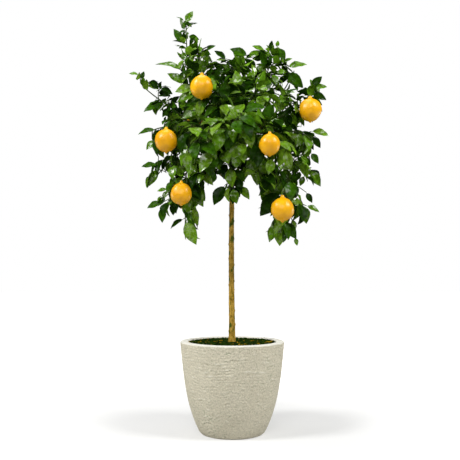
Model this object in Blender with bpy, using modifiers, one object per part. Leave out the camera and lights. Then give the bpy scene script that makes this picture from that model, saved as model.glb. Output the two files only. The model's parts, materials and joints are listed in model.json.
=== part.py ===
"""A Meyer lemon grown as a small standard tree in a round stone-fibre pot.

The frame has its origin on the floor under the middle of the pot, with +Z up, +X to the right and the
side that is seen from the front towards -Y. All sizes are in metres.

The crown is worked out by a seeded rule. Each bough carries one mass of foliage, and each mass keeps to a
space of its own round its stem. The stem bears twigs, stem and twigs bear leaves at the golden angle, and
a twig or leaf that would leave the space, or touch a limb, a fruit or another leaf, is skipped.
"""

import math
import random

import bmesh
import bpy
from mathutils import Vector
from mathutils.bvhtree import BVHTree
from mathutils.kdtree import KDTree

# Neighbouring solids keep this far from each other.
CLEAR = 0.0003
MERGE = 0.00001

# The pot, a turned shell that flares from its base to a thick rim with rounded edges, with a swell that
# is fullest a little below its middle.
POT_HEIGHT = 0.2675
POT_RIM_RADIUS = 0.155
POT_BASE_RADIUS = 0.0926
POT_SWELL = 0.0160
POT_SWELL_SKEW = 0.72
POT_WALL = 0.024
POT_FLOOR = 0.024
POT_EDGE = 0.0036
POT_CORNER = 0.0010
POT_FOOT_Z = 0.0036
POT_SEGMENTS = 32
POT_OUTER_STEPS = 6
POT_INNER_STEPS = 3

# The potting soil fills the pot to just under its rim and rises a little to the trunk.
SOIL_EDGE_Z = 0.2625
SOIL_TOP_Z = 0.2645
SOIL_FLAT_RADIUS = 0.020
SOIL_SLOPE_SHARE = 0.6

# The trunk: height of each ring above the floor, its sideways wander, and its radius.
TRUNK_SIDES = 8
LIMB_SHARP_ANGLE = math.radians(50)
TRUNK_RINGS = (
    (SOIL_TOP_Z + CLEAR, -0.0012, 0.0118),
    (0.276, -0.0010, 0.0102),
    (0.320, -0.0008, 0.0092),
    (0.420, -0.0020, 0.0084),
    (0.560, -0.0025, 0.0079),
    (0.690, -0.0014, 0.0073),
    (0.800, 0.0000, 0.0064),
    (0.880, 0.0012, 0.0052),
    (0.935, 0.0000, 0.0036),
)

# Each bough: what it grows from, where on that (height on the trunk, or share of the parent's length),
# the point where it enters its mass of foliage, and its radius at the foot and at that point.
BOUGH_SIDES = 5
BOUGH_STEPS = 3
BOUGH_RISE = 0.75
BOUGH_FOLLOWS = 0.6
BOUGH_ARRIVES = 0.8
BOUGHS = {
    "bough_left_drooping": ("trunk", 0.742, (-0.110, -0.055, 0.790), 0.0044, 0.0028),
    "bough_right_drooping": ("trunk", 0.750, (0.120, -0.050, 0.792), 0.0044, 0.0028),
    "bough_front_low": ("trunk", 0.762, (-0.004, -0.040, 0.795), 0.0036, 0.0026),
    "bough_left_low": ("trunk", 0.772, (-0.130, -0.020, 0.835), 0.0042, 0.0027),
    "bough_right_side": ("trunk", 0.785, (0.140, -0.012, 0.895), 0.0044, 0.0028),
    "bough_front_left": ("trunk", 0.784, (-0.050, -0.070, 0.861), 0.0040, 0.0027),
    "bough_front_right": ("trunk", 0.797, (0.050, -0.075, 0.868), 0.0040, 0.0027),
    "bough_back_left": ("trunk", 0.756, (-0.083, 0.070, 0.920), 0.0044, 0.0028),
    "bough_back_right": ("trunk", 0.764, (0.082, 0.070, 0.920), 0.0044, 0.0028),
    "bough_left_arm": ("trunk", 0.806, (-0.165, 0.000, 0.958), 0.0046, 0.0027),
    "bough_right_shoulder": ("trunk", 0.826, (0.130, 0.015, 0.990), 0.0046, 0.0027),
    "bough_front_middle": ("trunk", 0.826, (-0.004, -0.065, 0.875), 0.0038, 0.0027),
    "bough_back_middle": ("trunk", 0.830, (-0.004, 0.070, 0.930), 0.0040, 0.0028),
    "bough_left_spire": ("trunk", 0.850, (-0.122, 0.000, 1.030), 0.0044, 0.0027),
    "bough_right_top": ("trunk", 0.868, (0.085, 0.000, 1.020), 0.0042, 0.0027),
    "bough_left_high": ("trunk", 0.880, (-0.031, -0.045, 0.945), 0.0034, 0.0026),
    "bough_right_high": ("trunk", 0.892, (0.040, -0.045, 0.950), 0.0034, 0.0026),
    "bough_back_top": ("trunk", 0.905, (0.010, 0.045, 0.985), 0.0032, 0.0026),
    "bough_left_top": ("bough_left_spire", 0.45, (-0.070, -0.034, 0.980), 0.0032, 0.0026),
    "bough_left_side": ("bough_left_arm", 0.50, (-0.132, -0.040, 0.905), 0.0034, 0.0026),
    "bough_left_under": ("bough_front_left", 0.55, (-0.058, -0.070, 0.815), 0.0032, 0.0025),
    "bough_right_under": ("bough_front_right", 0.55, (0.056, -0.070, 0.815), 0.0032, 0.0025),
    "bough_right_arm": ("bough_right_shoulder", 0.50, (0.150, -0.020, 0.945), 0.0036, 0.0026),
    "bough_right_low": ("bough_right_side", 0.50, (0.140, 0.004, 0.835), 0.0034, 0.0026),
    "bough_back_left_low": ("bough_back_left", 0.45, (-0.082, 0.062, 0.815), 0.0036, 0.0026),
    "bough_back_right_low": ("bough_back_right", 0.45, (0.084, 0.062, 0.815), 0.0036, 0.0026),
}

# Each mass of foliage: what carries it, the far end of its stem, the radius of its space round the stem,
# the length of its leaves, and the seed of its growth.
MASSES = {
    "foliage_left_spire": ("bough_left_spire", (-0.143, -0.010, 1.240), 0.048, 0.054, 5003),
    "foliage_left_arm": ("bough_left_arm", (-0.285, 0.010, 1.058), 0.056, 0.062, 9205),
    "foliage_left_top": ("bough_left_top", (-0.105, -0.040, 1.155), 0.095, 0.070, 10007),
    "foliage_left_side": ("bough_left_side", (-0.245, -0.060, 0.888), 0.086, 0.070, 6011),
    "foliage_left_low": ("bough_left_low", (-0.232, -0.030, 0.752), 0.074, 0.070, 10813),
    "foliage_left_drooping": ("bough_left_drooping", (-0.137, -0.090, 0.598), 0.080, 0.076, 8017),
    "foliage_top_middle": ("trunk", (0.002, 0.000, 1.120), 0.100, 0.072, 2219),
    "foliage_front_middle": ("bough_front_middle", (0.008, -0.195, 0.889), 0.115, 0.080, 2623),
    "foliage_front_left": ("bough_front_left", (-0.100, -0.185, 0.832), 0.105, 0.080, 7029),
    "foliage_front_low": ("bough_front_low", (-0.001, -0.100, 0.712), 0.070, 0.068, 1231),
    "foliage_left_under": ("bough_left_under", (-0.072, -0.115, 0.735), 0.074, 0.068, 9237),
    "foliage_right_under": ("bough_right_under", (0.082, -0.115, 0.732), 0.072, 0.068, 8641),
    "foliage_front_right": ("bough_front_right", (0.120, -0.170, 0.845), 0.105, 0.080, 9243),
    "foliage_right_top": ("bough_right_top", (0.124, 0.000, 1.145), 0.088, 0.070, 6847),
    "foliage_right_shoulder": ("bough_right_shoulder", (0.192, 0.010, 1.095), 0.078, 0.070, 6653),
    "foliage_right_arm": ("bough_right_arm", (0.250, -0.020, 1.018), 0.078, 0.070, 12459),
    "foliage_right_side": ("bough_right_side", (0.242, -0.030, 0.872), 0.090, 0.072, 2061),
    "foliage_right_low": ("bough_right_low", (0.232, 0.000, 0.755), 0.084, 0.072, 9067),
    "foliage_right_drooping": ("bough_right_drooping", (0.150, -0.080, 0.598), 0.076, 0.074, 4671),
    "foliage_left_high": ("bough_left_high", (-0.045, -0.130, 1.005), 0.100, 0.074, 8273),
    "foliage_right_high": ("bough_right_high", (0.072, -0.130, 1.000), 0.100, 0.074, 10079),
    "foliage_back_middle": ("bough_back_middle", (-0.001, 0.200, 0.975), 0.115, 0.080, 6283),
    "foliage_back_left": ("bough_back_left", (-0.180, 0.160, 0.975), 0.110, 0.080, 10889),
    "foliage_back_right": ("bough_back_right", (0.180, 0.160, 0.965), 0.110, 0.080, 5697),
    "foliage_back_left_low": ("bough_back_left_low", (-0.138, 0.140, 0.700), 0.088, 0.076, 12101),
    "foliage_back_right_low": ("bough_back_right_low", (0.136, 0.140, 0.700), 0.088, 0.076, 10903),
    "foliage_back_top": ("bough_back_top", (0.010, 0.110, 1.105), 0.095, 0.074, 6307),
}

# Each lemon: the mass that bears it, its middle, a point from which nothing hides it, and its size as a
# share of the largest.
FRUIT_RADIUS = 0.0330
FRUIT_LENGTH = 0.0820
FRUIT_SIDES = 8
FRUIT_RINGS = 6
FRUIT_BODY = 0.90
FRUIT_FULLNESS = 2.1
FRUIT_NECK = 0.17
FRUIT_TOP = 0.46
FRUIT_SPHERES = ((0.0, 1.0), (0.22, 0.72), (-0.22, 0.72), (0.46, 0.16), (-0.46, 0.16))
FRONT = (0.0, -1.93, 0.463)
FRUITS = (
    ("foliage_left_top", (-0.087, -0.150, 0.996), FRONT, 0.98),
    ("foliage_left_side", (-0.190, -0.120, 0.848), FRONT, 0.97),
    ("foliage_left_drooping", (-0.144, -0.140, 0.692), FRONT, 0.91),
    ("foliage_front_right", (0.102, -0.200, 0.820), FRONT, 0.88),
    ("foliage_right_arm", (0.229, -0.080, 0.948), FRONT, 1.00),
    ("foliage_right_drooping", (0.141, -0.140, 0.648), FRONT, 0.98),
    ("foliage_back_left", (-0.125, 0.185, 0.985), (-0.6, 1.9, 0.9), 0.92),
    ("foliage_back_middle", (-0.035, 0.225, 0.880), (-0.2, 1.9, 0.6), 0.96),
    ("foliage_back_right", (0.121, 0.200, 0.895), (0.6, 1.9, 0.6), 0.90),
    ("foliage_back_left_low", (-0.160, 0.185, 0.715), (-0.6, 1.9, 0.5), 0.95),
    ("foliage_back_right_low", (0.165, 0.175, 0.675), (0.6, 1.9, 0.5), 0.92),
)
STALK_RADIUS = 0.0022
STALK_STEPS = 4
STALK_PLACES = 11
STALK_NEAR_SHARE = 0.10
STALK_FAR_SHARE = 0.90
STALK_RISE = 0.5
STALK_LEAVES = 0.5
STALK_HANGS = 0.9
WINDOW_DEPTH = 0.35
WINDOW_MARGIN = 0.001

# The rule of growth.
GOLDEN_ANGLE = math.radians(137.5)
UP = Vector((0.0, 0.0, 1.0))
SPACE_MARGIN = 0.05
END_REACH = 0.045
WOOD_MARGIN = 0.0014
WOOD_PITCH = 0.005
STEM_SIDES = 4
STEM_LEAD = 0.008
STEM_STEPS = 3
STEM_RADIUS = 0.0027
STEM_TIP_RADIUS = 0.0015
STEM_TURN = 0.45
STEM_LEAVES = 0.6
STEM_ARRIVES = 0.7
STEM_BARE = 0.25
TWIG_SIDES = 3
TWIG_STEPS = 1
TWIG_RADIUS = 0.0023
TWIG_TIP_RADIUS = 0.0016
TWIG_SPACING = 0.028
TWIG_ANGLE = math.radians(55)
TWIG_ANGLE_CHANGE = 0.15
TWIG_FIRST_SHARE = 0.10
TWIG_LAST_SHARE = 0.80
TWIG_TRIES = (1.0, 0.75, 0.5)
TWIG_REACH_LOW = 0.60
TWIG_REACH_HIGH = 0.37
TWIG_REACH_CHANGE = (0.85, 1.10)
TWIG_RISE = 0.25
TWIG_FALL = 0.6
TWIG_GAP = 0.012
TWIG_BARE = 0.40
TURN_CHANGE = 0.25
LEAF_SPACING = 0.0165
LEAF_ANGLE = math.radians(55)
LEAF_MIN_ANGLE = math.radians(34)
LEAF_ANGLE_CHANGE = 0.20
LEAF_LENGTHS = (0.85, 1.12)
END_LEAF_ANGLE = 0.30
END_LEAF_SHARE = 0.98
LEAF_SIZES = (1.0, 1.0, 1.0, 0.88, 0.88, 0.88, 0.76, 0.76, 0.76)
LEAF_GAP = 0.011
LEAF_WIDTH_SHARE = 0.62
LEAF_THICKNESS_SHARE = 0.030
LEAF_WIDEST = 0.44
LEAF_FOLD = 0.09
LEAF_SAG = 0.07
LEAF_ROOT_DEPTH = 0.0005
LEAF_SPINE = (0.35, 0.65, 0.95)
LEAF_REACH = 0.6
FACE_UP = 0.50
FACE_OUT = 0.45
FACE_ASIDE = 0.45
FACE_SWAY = 0.4
CROWN_TOP_Z = 1.25
CROWN_LOW_Z = 0.70
DROOP_AT_TOP = 0.10
DROOP_AT_LOW = 1.05
DROOP_CHANGE = (0.6, 1.3)


def material(name, colour, roughness):
    """A Principled material of one colour."""
    made = bpy.data.materials.new(name)
    made.use_nodes = True
    shader = made.node_tree.nodes["Principled BSDF"]
    shader.inputs["Base Color"].default_value = (*colour, 1.0)
    shader.inputs["Roughness"].default_value = roughness
    return made


def link_object(name, data, group, look=None):
    made = bpy.data.objects.new(name, data)
    group.objects.link(made)
    if look:
        data.materials.append(look)
    return made


def new_collection(name):
    made = bpy.data.collections.new(name)
    bpy.context.scene.collection.children.link(made)
    return made


def solid_mesh(solid, name):
    """A mesh from a bmesh, with its faces turned outwards."""
    bmesh.ops.recalc_face_normals(solid, faces=solid.faces)
    mesh = bpy.data.meshes.new(name)
    solid.to_mesh(mesh)
    solid.free()
    return mesh


def evaluated_mesh(obj):
    """The mesh of an object with its modifiers applied."""
    bpy.context.view_layer.update()
    graph = bpy.context.evaluated_depsgraph_get()
    return bpy.data.meshes.new_from_object(obj.evaluated_get(graph))


def turned(name, profile, segments, group, look):
    """A solid turned round +Z from a profile of radii and heights that runs down its outer side."""
    outline = bmesh.new()
    points = [outline.verts.new((radius, 0.0, height)) for radius, height in profile]
    for first, second in zip(points, points[1:]):
        outline.edges.new((first, second))
    mesh = bpy.data.meshes.new(name)
    outline.to_mesh(mesh)
    outline.free()
    made = link_object(name, mesh, group, look)
    turn = made.modifiers.new("Turn", "SCREW")
    turn.steps = turn.render_steps = segments
    turn.use_merge_vertices = True
    turn.merge_threshold = MERGE
    turn.use_smooth_shade = True
    return made


def wall_radius(share):
    """Radius of the pot's outer wall at a share of its height: a straight flare with a swell on it."""
    flare = POT_BASE_RADIUS + (POT_RIM_RADIUS - POT_BASE_RADIUS) * share
    return flare + POT_SWELL * math.sin(math.pi * share**POT_SWELL_SKEW)


def inner_wall():
    """Radii and heights of the pot's inside, from under the rim down to its floor."""
    top = POT_HEIGHT - POT_EDGE
    heights = [top + (POT_FLOOR - top) * step / POT_INNER_STEPS for step in range(POT_INNER_STEPS + 1)]
    return [(wall_radius(height / POT_HEIGHT) - POT_WALL, height) for height in heights]


def build_pot(group, look):
    top = POT_HEIGHT - POT_EDGE
    heights = [top + (POT_FOOT_Z - top) * step / POT_OUTER_STEPS for step in range(POT_OUTER_STEPS + 1)]
    outer = [(wall_radius(height / POT_HEIGHT), height) for height in heights]
    inner = inner_wall()
    outside, inside = outer[0][0], inner[0][0]
    rim = [
        (inside + POT_CORNER, POT_HEIGHT - POT_CORNER),
        (inside + POT_EDGE, POT_HEIGHT),
        (outside - POT_EDGE, POT_HEIGHT),
        (outside - POT_CORNER, POT_HEIGHT - POT_CORNER),
    ]
    underside = [(POT_BASE_RADIUS - POT_CORNER, 0.0), (0.0, 0.0)]
    profile = [(0.0, POT_FLOOR)] + inner[::-1] + rim + outer + underside
    return turned("pot", profile, POT_SEGMENTS, group, look)


def build_soil(group, look):
    """The soil follows the inside of the pot, clear of it, and has a flat top where the trunk stands."""
    inner = [(radius - CLEAR, height) for radius, height in inner_wall()]
    (high_radius, high), (low_radius, low) = inner[0], inner[1]
    share = (high - SOIL_EDGE_Z) / (high - low)
    edge_radius = high_radius + (low_radius - high_radius) * share
    slope_radius = (SOIL_FLAT_RADIUS + edge_radius) / 2
    slope_z = SOIL_EDGE_Z + (SOIL_TOP_Z - SOIL_EDGE_Z) * SOIL_SLOPE_SHARE
    floor_z = POT_FLOOR + CLEAR
    profile = [(0.0, SOIL_TOP_Z), (SOIL_FLAT_RADIUS, SOIL_TOP_Z), (slope_radius, slope_z)]
    profile += [(edge_radius, SOIL_EDGE_Z)] + inner[1:-1] + [(inner[-1][0], floor_z), (0.0, floor_z)]
    return turned("soil", profile, POT_SEGMENTS, group, look)


def smooth_path(start, leaving, end, arriving, steps):
    """Points on a cubic curve from start to end, with its headings there as lengths."""
    points = []
    for step in range(steps + 1):
        t = step / steps
        points.append(
            start * (2 * t**3 - 3 * t**2 + 1)
            + leaving * (t**3 - 2 * t**2 + t)
            + end * (-2 * t**3 + 3 * t**2)
            + arriving * (t**3 - t**2)
        )
    return points


def path_length(path):
    return sum((after - before).length for before, after in zip(path, path[1:]))


def at_share(path, share):
    """The point and the direction at a share of a path's length."""
    left = share * path_length(path)
    for before, after in zip(path, path[1:]):
        length = (after - before).length
        if left <= length:
            return before.lerp(after, left / length), (after - before).normalized()
        left -= length
    return path[-1].copy(), (path[-1] - path[-2]).normalized()


def around(direction, angle):
    """A unit vector square to a direction, turned round it by an angle."""
    across = direction.cross(UP)
    if across.length < 0.05:
        across = direction.cross(Vector((0.0, 1.0, 0.0)))
    across.normalize()
    return across * math.cos(angle) + direction.cross(across) * math.sin(angle)


def tapered(first, last, count):
    return [first + (last - first) * index / (count - 1) for index in range(count)]


def spheres_along(path, radii):
    """Small spheres that stand for a limb when something else has to keep clear of it."""
    found = []
    for index, (before, after) in enumerate(zip(path, path[1:])):
        count = max(1, round((after - before).length / WOOD_PITCH))
        for step in range(count):
            share = step / count
            radius = radii[index] + (radii[index + 1] - radii[index]) * share
            found.append((before.lerp(after, share), radius))
    found.append((path[-1], radii[-1]))
    return found


def fruit_shape(height):
    """Radius of a lemon, as a share of its widest, at a height of -1 (nipple) to 1 (stalk)."""
    body = math.sqrt(max(0.0, 1.0 - (abs(height) / FRUIT_BODY) ** FRUIT_FULLNESS))
    neck = FRUIT_NECK * math.sqrt(max(0.0, 1.0 - abs(height)))
    return max(body, neck)


def fruit_spheres(middle, size):
    """Spheres that stand for a lemon, from their places as shares of its length and its radius."""
    length, radius = FRUIT_LENGTH * size, FRUIT_RADIUS * size
    return [(middle + UP * (length * place), radius * share) for place, share in FRUIT_SPHERES]


def trunk_line():
    path = [Vector((wander, 0.0, height)) for height, wander, _ in TRUNK_RINGS]
    return path, [radius for _, _, radius in TRUNK_RINGS]


def trunk_point(height):
    path, _ = trunk_line()
    for low, high in zip(path, path[1:]):
        if low.z <= height <= high.z:
            return low.lerp(high, (height - low.z) / (high.z - low.z))
    return path[-1].copy()


def plan_limbs():
    """The path and the radii of the trunk and of every bough, by name."""
    limbs = {"trunk": trunk_line()}
    far_ends = {carrier: Vector(tip) for carrier, tip, _, _, _ in MASSES.values()}
    for name, (parent, place, tip, foot_radius, tip_radius) in BOUGHS.items():
        tip = Vector(tip)
        if parent == "trunk":
            start = trunk_point(place)
            outward = Vector((tip.x - start.x, tip.y - start.y, 0.0)).normalized()
            leaving = (outward + UP * BOUGH_RISE).normalized()
        else:
            start, along = at_share(limbs[parent][0], place)
            leaving = (along * BOUGH_FOLLOWS + (tip - start).normalized()).normalized()
        span = (tip - start).length
        onward = (far_ends[name] - tip).normalized()
        arriving = ((tip - start).normalized() + onward * BOUGH_FOLLOWS).normalized()
        path = smooth_path(start, leaving * span, tip, arriving * span * BOUGH_ARRIVES, BOUGH_STEPS)
        limbs[name] = (path, tapered(foot_radius, tip_radius, len(path)))
    return limbs


def plan_stem(name, limbs):
    """The stem of a mass, from its bough's end to the far end of its space, turning up or down there."""
    carrier, tip, _, _, _ = MASSES[name]
    bough = limbs[carrier][0]
    heading = (bough[-1] - bough[-2]).normalized()
    foot, tip = bough[-1] + heading * CLEAR, Vector(tip)
    start = foot + heading * STEM_LEAD
    span = (tip - start).length
    turn = STEM_TURN if tip.z > start.z else -STEM_TURN
    arriving = (tip - start).normalized() + UP * turn
    leaving, arriving = heading * (span * STEM_LEAVES), arriving * (span * STEM_ARRIVES)
    return [foot] + smooth_path(start, leaving, tip, arriving, STEM_STEPS)


def plan_stalks(limbs, stems):
    """Each lemon with the stalk that bears it, from the nearest part of its mass's stem."""
    hung = {name: [] for name in MASSES}
    for name, middle, _, size in FRUITS:
        top = Vector(middle) + UP * (FRUIT_LENGTH * size * FRUIT_TOP)
        shares = tapered(STALK_NEAR_SHARE, STALK_FAR_SHARE, STALK_PLACES)
        nearest = min(shares, key=lambda share: (at_share(stems[name], share)[0] - top).length)
        start, along = at_share(stems[name], nearest)
        span = (top - start).length
        leaving = (along + (top - start).normalized() + UP * STALK_RISE) * (span * STALK_LEAVES)
        stalk = smooth_path(start, leaving, top, UP * (-span * STALK_HANGS), STALK_STEPS)
        hung[name].append((Vector(middle), size, stalk))
    return hung


def share_of_space(point, space):
    """How far a point is from a space's stem line, where 1 is the edge of the space."""
    start, end, girth = space
    line = end - start
    along = (point - start).dot(line) / line.length_squared
    gap = (point - start - line * max(0.0, min(1.0, along))).length
    if along > 1.0:
        past = (along - 1.0) * line.length
        gap = math.sqrt(gap * gap - past * past + (past * girth / END_REACH) ** 2)
    return gap / girth


def plan_spaces(limbs):
    """The space of each mass, with the spaces beside it that it has to keep out of."""
    spaces = {}
    for name, (carrier, tip, girth, _, _) in MASSES.items():
        spaces[name] = (limbs[carrier][0][-1], Vector(tip), girth)
    beside = {}
    for name, (start, end, girth) in spaces.items():
        near = []
        for other, (first, last, other_girth) in spaces.items():
            gap = ((start + end) / 2 - (first + last) / 2).length
            reach = ((end - start).length + (last - first).length) / 2 + girth + other_girth
            if other != name and gap < reach:
                near.append(spaces[other])
        beside[name] = near
    return spaces, beside


def in_own_space(point, name, plan):
    own = share_of_space(point, plan["spaces"][name])
    if own > 1.0:
        return False
    return all(share_of_space(point, space) > own + SPACE_MARGIN for space in plan["beside"][name])


def in_a_window(point):
    """Whether a point would hide a lemon from the place where it is seen in the open."""
    for _, middle, eye, _ in FRUITS:
        middle = Vector(middle)
        sight = (Vector(eye) - middle).normalized()
        away = point - middle
        along = away.dot(sight)
        if 0.0 < along < WINDOW_DEPTH and (away - sight * along).length < FRUIT_RADIUS + WINDOW_MARGIN:
            return True
    return False


def wood_tree(spheres):
    """A search tree over spheres, to find those near a point."""
    tree = KDTree(len(spheres))
    for index, (point, _) in enumerate(spheres):
        tree.insert(point, index)
    tree.balance()
    return tree


def plan_tree():
    """The whole tree as lines and places, with no solids yet."""
    limbs = plan_limbs()
    stems = {name: plan_stem(name, limbs) for name in MASSES}
    fruits = plan_stalks(limbs, stems)
    spaces, beside = plan_spaces(limbs)
    fixed = []
    for path, radii in limbs.values():
        fixed += spheres_along(path, radii)
    for hung in fruits.values():
        for middle, size, stalk in hung:
            fixed += fruit_spheres(middle, size) + spheres_along(stalk, [STALK_RADIUS] * len(stalk))
    plan = {"limbs": limbs, "stems": stems, "fruits": fruits, "spaces": spaces, "beside": beside}
    plan["fixed"], plan["fixed_tree"] = fixed, wood_tree(fixed)
    plan["masses"] = {name: grow_mass(name, plan) for name in MASSES}
    return plan


def leaf_corners(leaf):
    """The six corners of a leaf's solid: root, tip, two sides, upper face and under face."""
    root, along, normal, length = leaf["root"], leaf["along"], leaf["normal"], leaf["length"]
    across = along.cross(normal).normalized()
    rib = root + along * (length * LEAF_WIDEST) + normal * (length * LEAF_SAG)
    edge = rib + normal * (length * LEAF_FOLD)
    half_width = across * (length * LEAF_WIDTH_SHARE / 2)
    half_thickness = normal * (length * LEAF_THICKNESS_SHARE / 2)
    return {
        "root": root - along * LEAF_ROOT_DEPTH,
        "tip": root + along * length,
        "left": edge - half_width,
        "right": edge + half_width,
        "upper": rib + half_thickness,
        "under": rib - half_thickness,
    }


def leaf_solid(leaf):
    """A leaf as a thin solid of eight faces, widest before its middle and folded up along its rib."""
    corners = leaf_corners(leaf)
    solid = bmesh.new()
    bmesh.ops.create_uvsphere(solid, u_segments=4, v_segments=2, radius=1.0)
    for vert in solid.verts:
        if abs(vert.co.z) > 0.5:
            vert.co = corners["tip"] if vert.co.z > 0.0 else corners["root"]
        elif abs(vert.co.x) > 0.5:
            vert.co = corners["right"] if vert.co.x > 0.0 else corners["left"]
        else:
            vert.co = corners["upper"] if vert.co.y > 0.0 else corners["under"]
    return solid


def leaf_samples(leaf):
    """Points spread over a leaf, its tip first, to test its place by."""
    corners = leaf_corners(leaf)
    root, tip, rib = corners["root"], corners["tip"], corners["upper"]
    samples = [tip, corners["left"], corners["right"], rib]
    samples += [tip.lerp(corners["left"], 0.5), tip.lerp(corners["right"], 0.5)]
    samples += [root.lerp(corners["left"], 0.5), root.lerp(corners["right"], 0.5), root.lerp(rib, 0.5)]
    return samples


def spine(leaf):
    tip = leaf["root"] + leaf["along"] * leaf["length"]
    return [leaf["root"].lerp(tip, share) for share in LEAF_SPINE]


def touches_wood(shape, middle, reach, spheres):
    """Whether a leaf's surface comes too near to any of the spheres."""
    for point, radius in spheres:
        near = radius + WOOD_MARGIN
        if (point - middle).length < reach + near and shape.find_nearest(point, near)[0]:
            return True
    return False


def leaf_fits(leaf, name, plan, grown, bearer):
    for point in leaf_samples(leaf):
        if not in_own_space(point, name, plan) or in_a_window(point):
            return None
    for point in spine(leaf):
        if any((point - other).length < LEAF_GAP for other in grown["spine_points"]):
            return None
    solid = leaf_solid(leaf)
    shape = BVHTree.FromBMesh(solid)
    solid.free()
    if any(shape.overlap(other) for other in grown["shapes"]):
        return None
    middle, reach = leaf["root"] + leaf["along"] * (leaf["length"] / 2), leaf["length"] * LEAF_REACH
    near = plan["fixed_tree"].find_range(middle, reach + FRUIT_RADIUS + WOOD_MARGIN)
    if touches_wood(shape, middle, reach, [plan["fixed"][index] for _, index, _ in near]):
        return None
    for key, spheres in grown["wood"].items():
        if key != bearer and touches_wood(shape, middle, reach, spheres):
            return None
    return shape


def droop_at(height):
    share = (CROWN_TOP_Z - height) / (CROWN_TOP_Z - CROWN_LOW_Z)
    return DROOP_AT_TOP + (DROOP_AT_LOW - DROOP_AT_TOP) * max(0.0, min(1.0, share))


def try_leaf(root, direction, turn, angle, length, name, plan, grown, bearer, rng):
    """Adds a leaf at this root, turned round its twig until it fits, if it does at all."""
    droop = droop_at(root.z) * rng.uniform(*DROOP_CHANGE)
    sway = Vector((rng.uniform(-1, 1), rng.uniform(-1, 1), rng.uniform(-1, 1))) * FACE_SWAY
    outward = Vector((root.x, root.y, 0.0)).normalized()
    for attempt, shorter in enumerate(LEAF_SIZES):
        radial = around(direction, turn + attempt * GOLDEN_ANGLE)
        along = (direction * math.cos(angle) + radial * math.sin(angle) - UP * droop).normalized()
        if angle > LEAF_MIN_ANGLE and along.dot(direction) > math.cos(LEAF_MIN_ANGLE):
            aside = (along - direction * along.dot(direction)).normalized()
            along = direction * math.cos(LEAF_MIN_ANGLE) + aside * math.sin(LEAF_MIN_ANGLE)
        wanted = UP * FACE_UP + outward * FACE_OUT + radial * FACE_ASIDE + sway
        normal = (wanted - along * wanted.dot(along)).normalized()
        leaf = {"root": root, "along": along, "normal": normal, "length": length * shorter}
        shape = leaf_fits(leaf, name, plan, grown, bearer)
        if shape:
            grown["leaves"].append(leaf)
            grown["shapes"].append(shape)
            grown["spine_points"] += spine(leaf)
            return


def twig_fits(path, name, plan, grown):
    for point, radius in spheres_along(path, [TWIG_RADIUS] * len(path))[2:]:
        if not in_own_space(point, name, plan) or in_a_window(point):
            return False
        for _, index, gap in plan["fixed_tree"].find_range(point, FRUIT_RADIUS + radius + WOOD_MARGIN):
            if gap < plan["fixed"][index][1] + radius + WOOD_MARGIN:
                return False
        for key, spheres in grown["wood"].items():
            if key != "stem" and any((point - other).length < TWIG_GAP for other, _ in spheres):
                return False
    return True


def try_twig(stem, share, turn, reach, name, plan, grown, rng):
    """Adds a twig at a share of the stem's length, as long as it can be there."""
    root, direction = at_share(stem, share)
    angle = TWIG_ANGLE + rng.uniform(-TWIG_ANGLE_CHANGE, TWIG_ANGLE_CHANGE)
    leaving = direction * math.cos(angle) + around(direction, turn) * math.sin(angle)
    bend = UP * (TWIG_RISE - TWIG_FALL * droop_at(root.z))
    for shorter in TWIG_TRIES:
        length = reach * shorter
        end = root + (leaving + bend / 2) * length
        path = smooth_path(root, leaving * length, end, (leaving + bend) * length, TWIG_STEPS)
        if twig_fits(path, name, plan, grown):
            key = f"twig_{len(grown['twigs'])}"
            grown["twigs"].append(path)
            grown["wood"][key] = spheres_along(path, [TWIG_RADIUS] * len(path))
            return


def leaf_out(path, first_share, key, name, plan, grown, rng):
    """Sets leaves along a stem or twig, from its end back towards its root."""
    length = MASSES[name][3]
    turn = rng.uniform(0.0, 2 * math.pi)
    count = max(1, round(path_length(path) * (1 - first_share) / LEAF_SPACING))
    for index in range(count + 1):
        share = 1.0 - (1.0 - first_share) * index / count
        root, direction = at_share(path, min(share, END_LEAF_SHARE))
        turn += GOLDEN_ANGLE + rng.uniform(-TURN_CHANGE, TURN_CHANGE)
        change = rng.uniform(-LEAF_ANGLE_CHANGE, LEAF_ANGLE_CHANGE)
        angle = END_LEAF_ANGLE if index == 0 else LEAF_ANGLE + change
        size = length * rng.uniform(*LEAF_LENGTHS)
        try_leaf(root, direction, turn, angle, size, name, plan, grown, key, rng)


def grow_mass(name, plan):
    """Everything in one mass of foliage: its twigs and its leaves."""
    _, _, girth, _, seed = MASSES[name]
    rng = random.Random(seed)
    stem = plan["stems"][name]
    grown = {"twigs": [], "leaves": [], "shapes": [], "spine_points": []}
    grown["wood"] = {"stem": spheres_along(stem, [STEM_RADIUS] * len(stem))}
    turn = rng.uniform(0.0, 2 * math.pi)
    count = max(2, round(path_length(stem) / TWIG_SPACING))
    reaches = tapered(TWIG_REACH_LOW, TWIG_REACH_HIGH, count)
    for share, reach in zip(tapered(TWIG_FIRST_SHARE, TWIG_LAST_SHARE, count), reaches):
        turn += GOLDEN_ANGLE + rng.uniform(-TURN_CHANGE, TURN_CHANGE)
        length = girth * reach * rng.uniform(*TWIG_REACH_CHANGE)
        try_twig(stem, share, turn, length, name, plan, grown, rng)
    leaf_out(stem, STEM_BARE, "stem", name, plan, grown, rng)
    for index, twig in enumerate(grown["twigs"]):
        leaf_out(twig, TWIG_BARE, f"twig_{index}", name, plan, grown, rng)
    return grown


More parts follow.
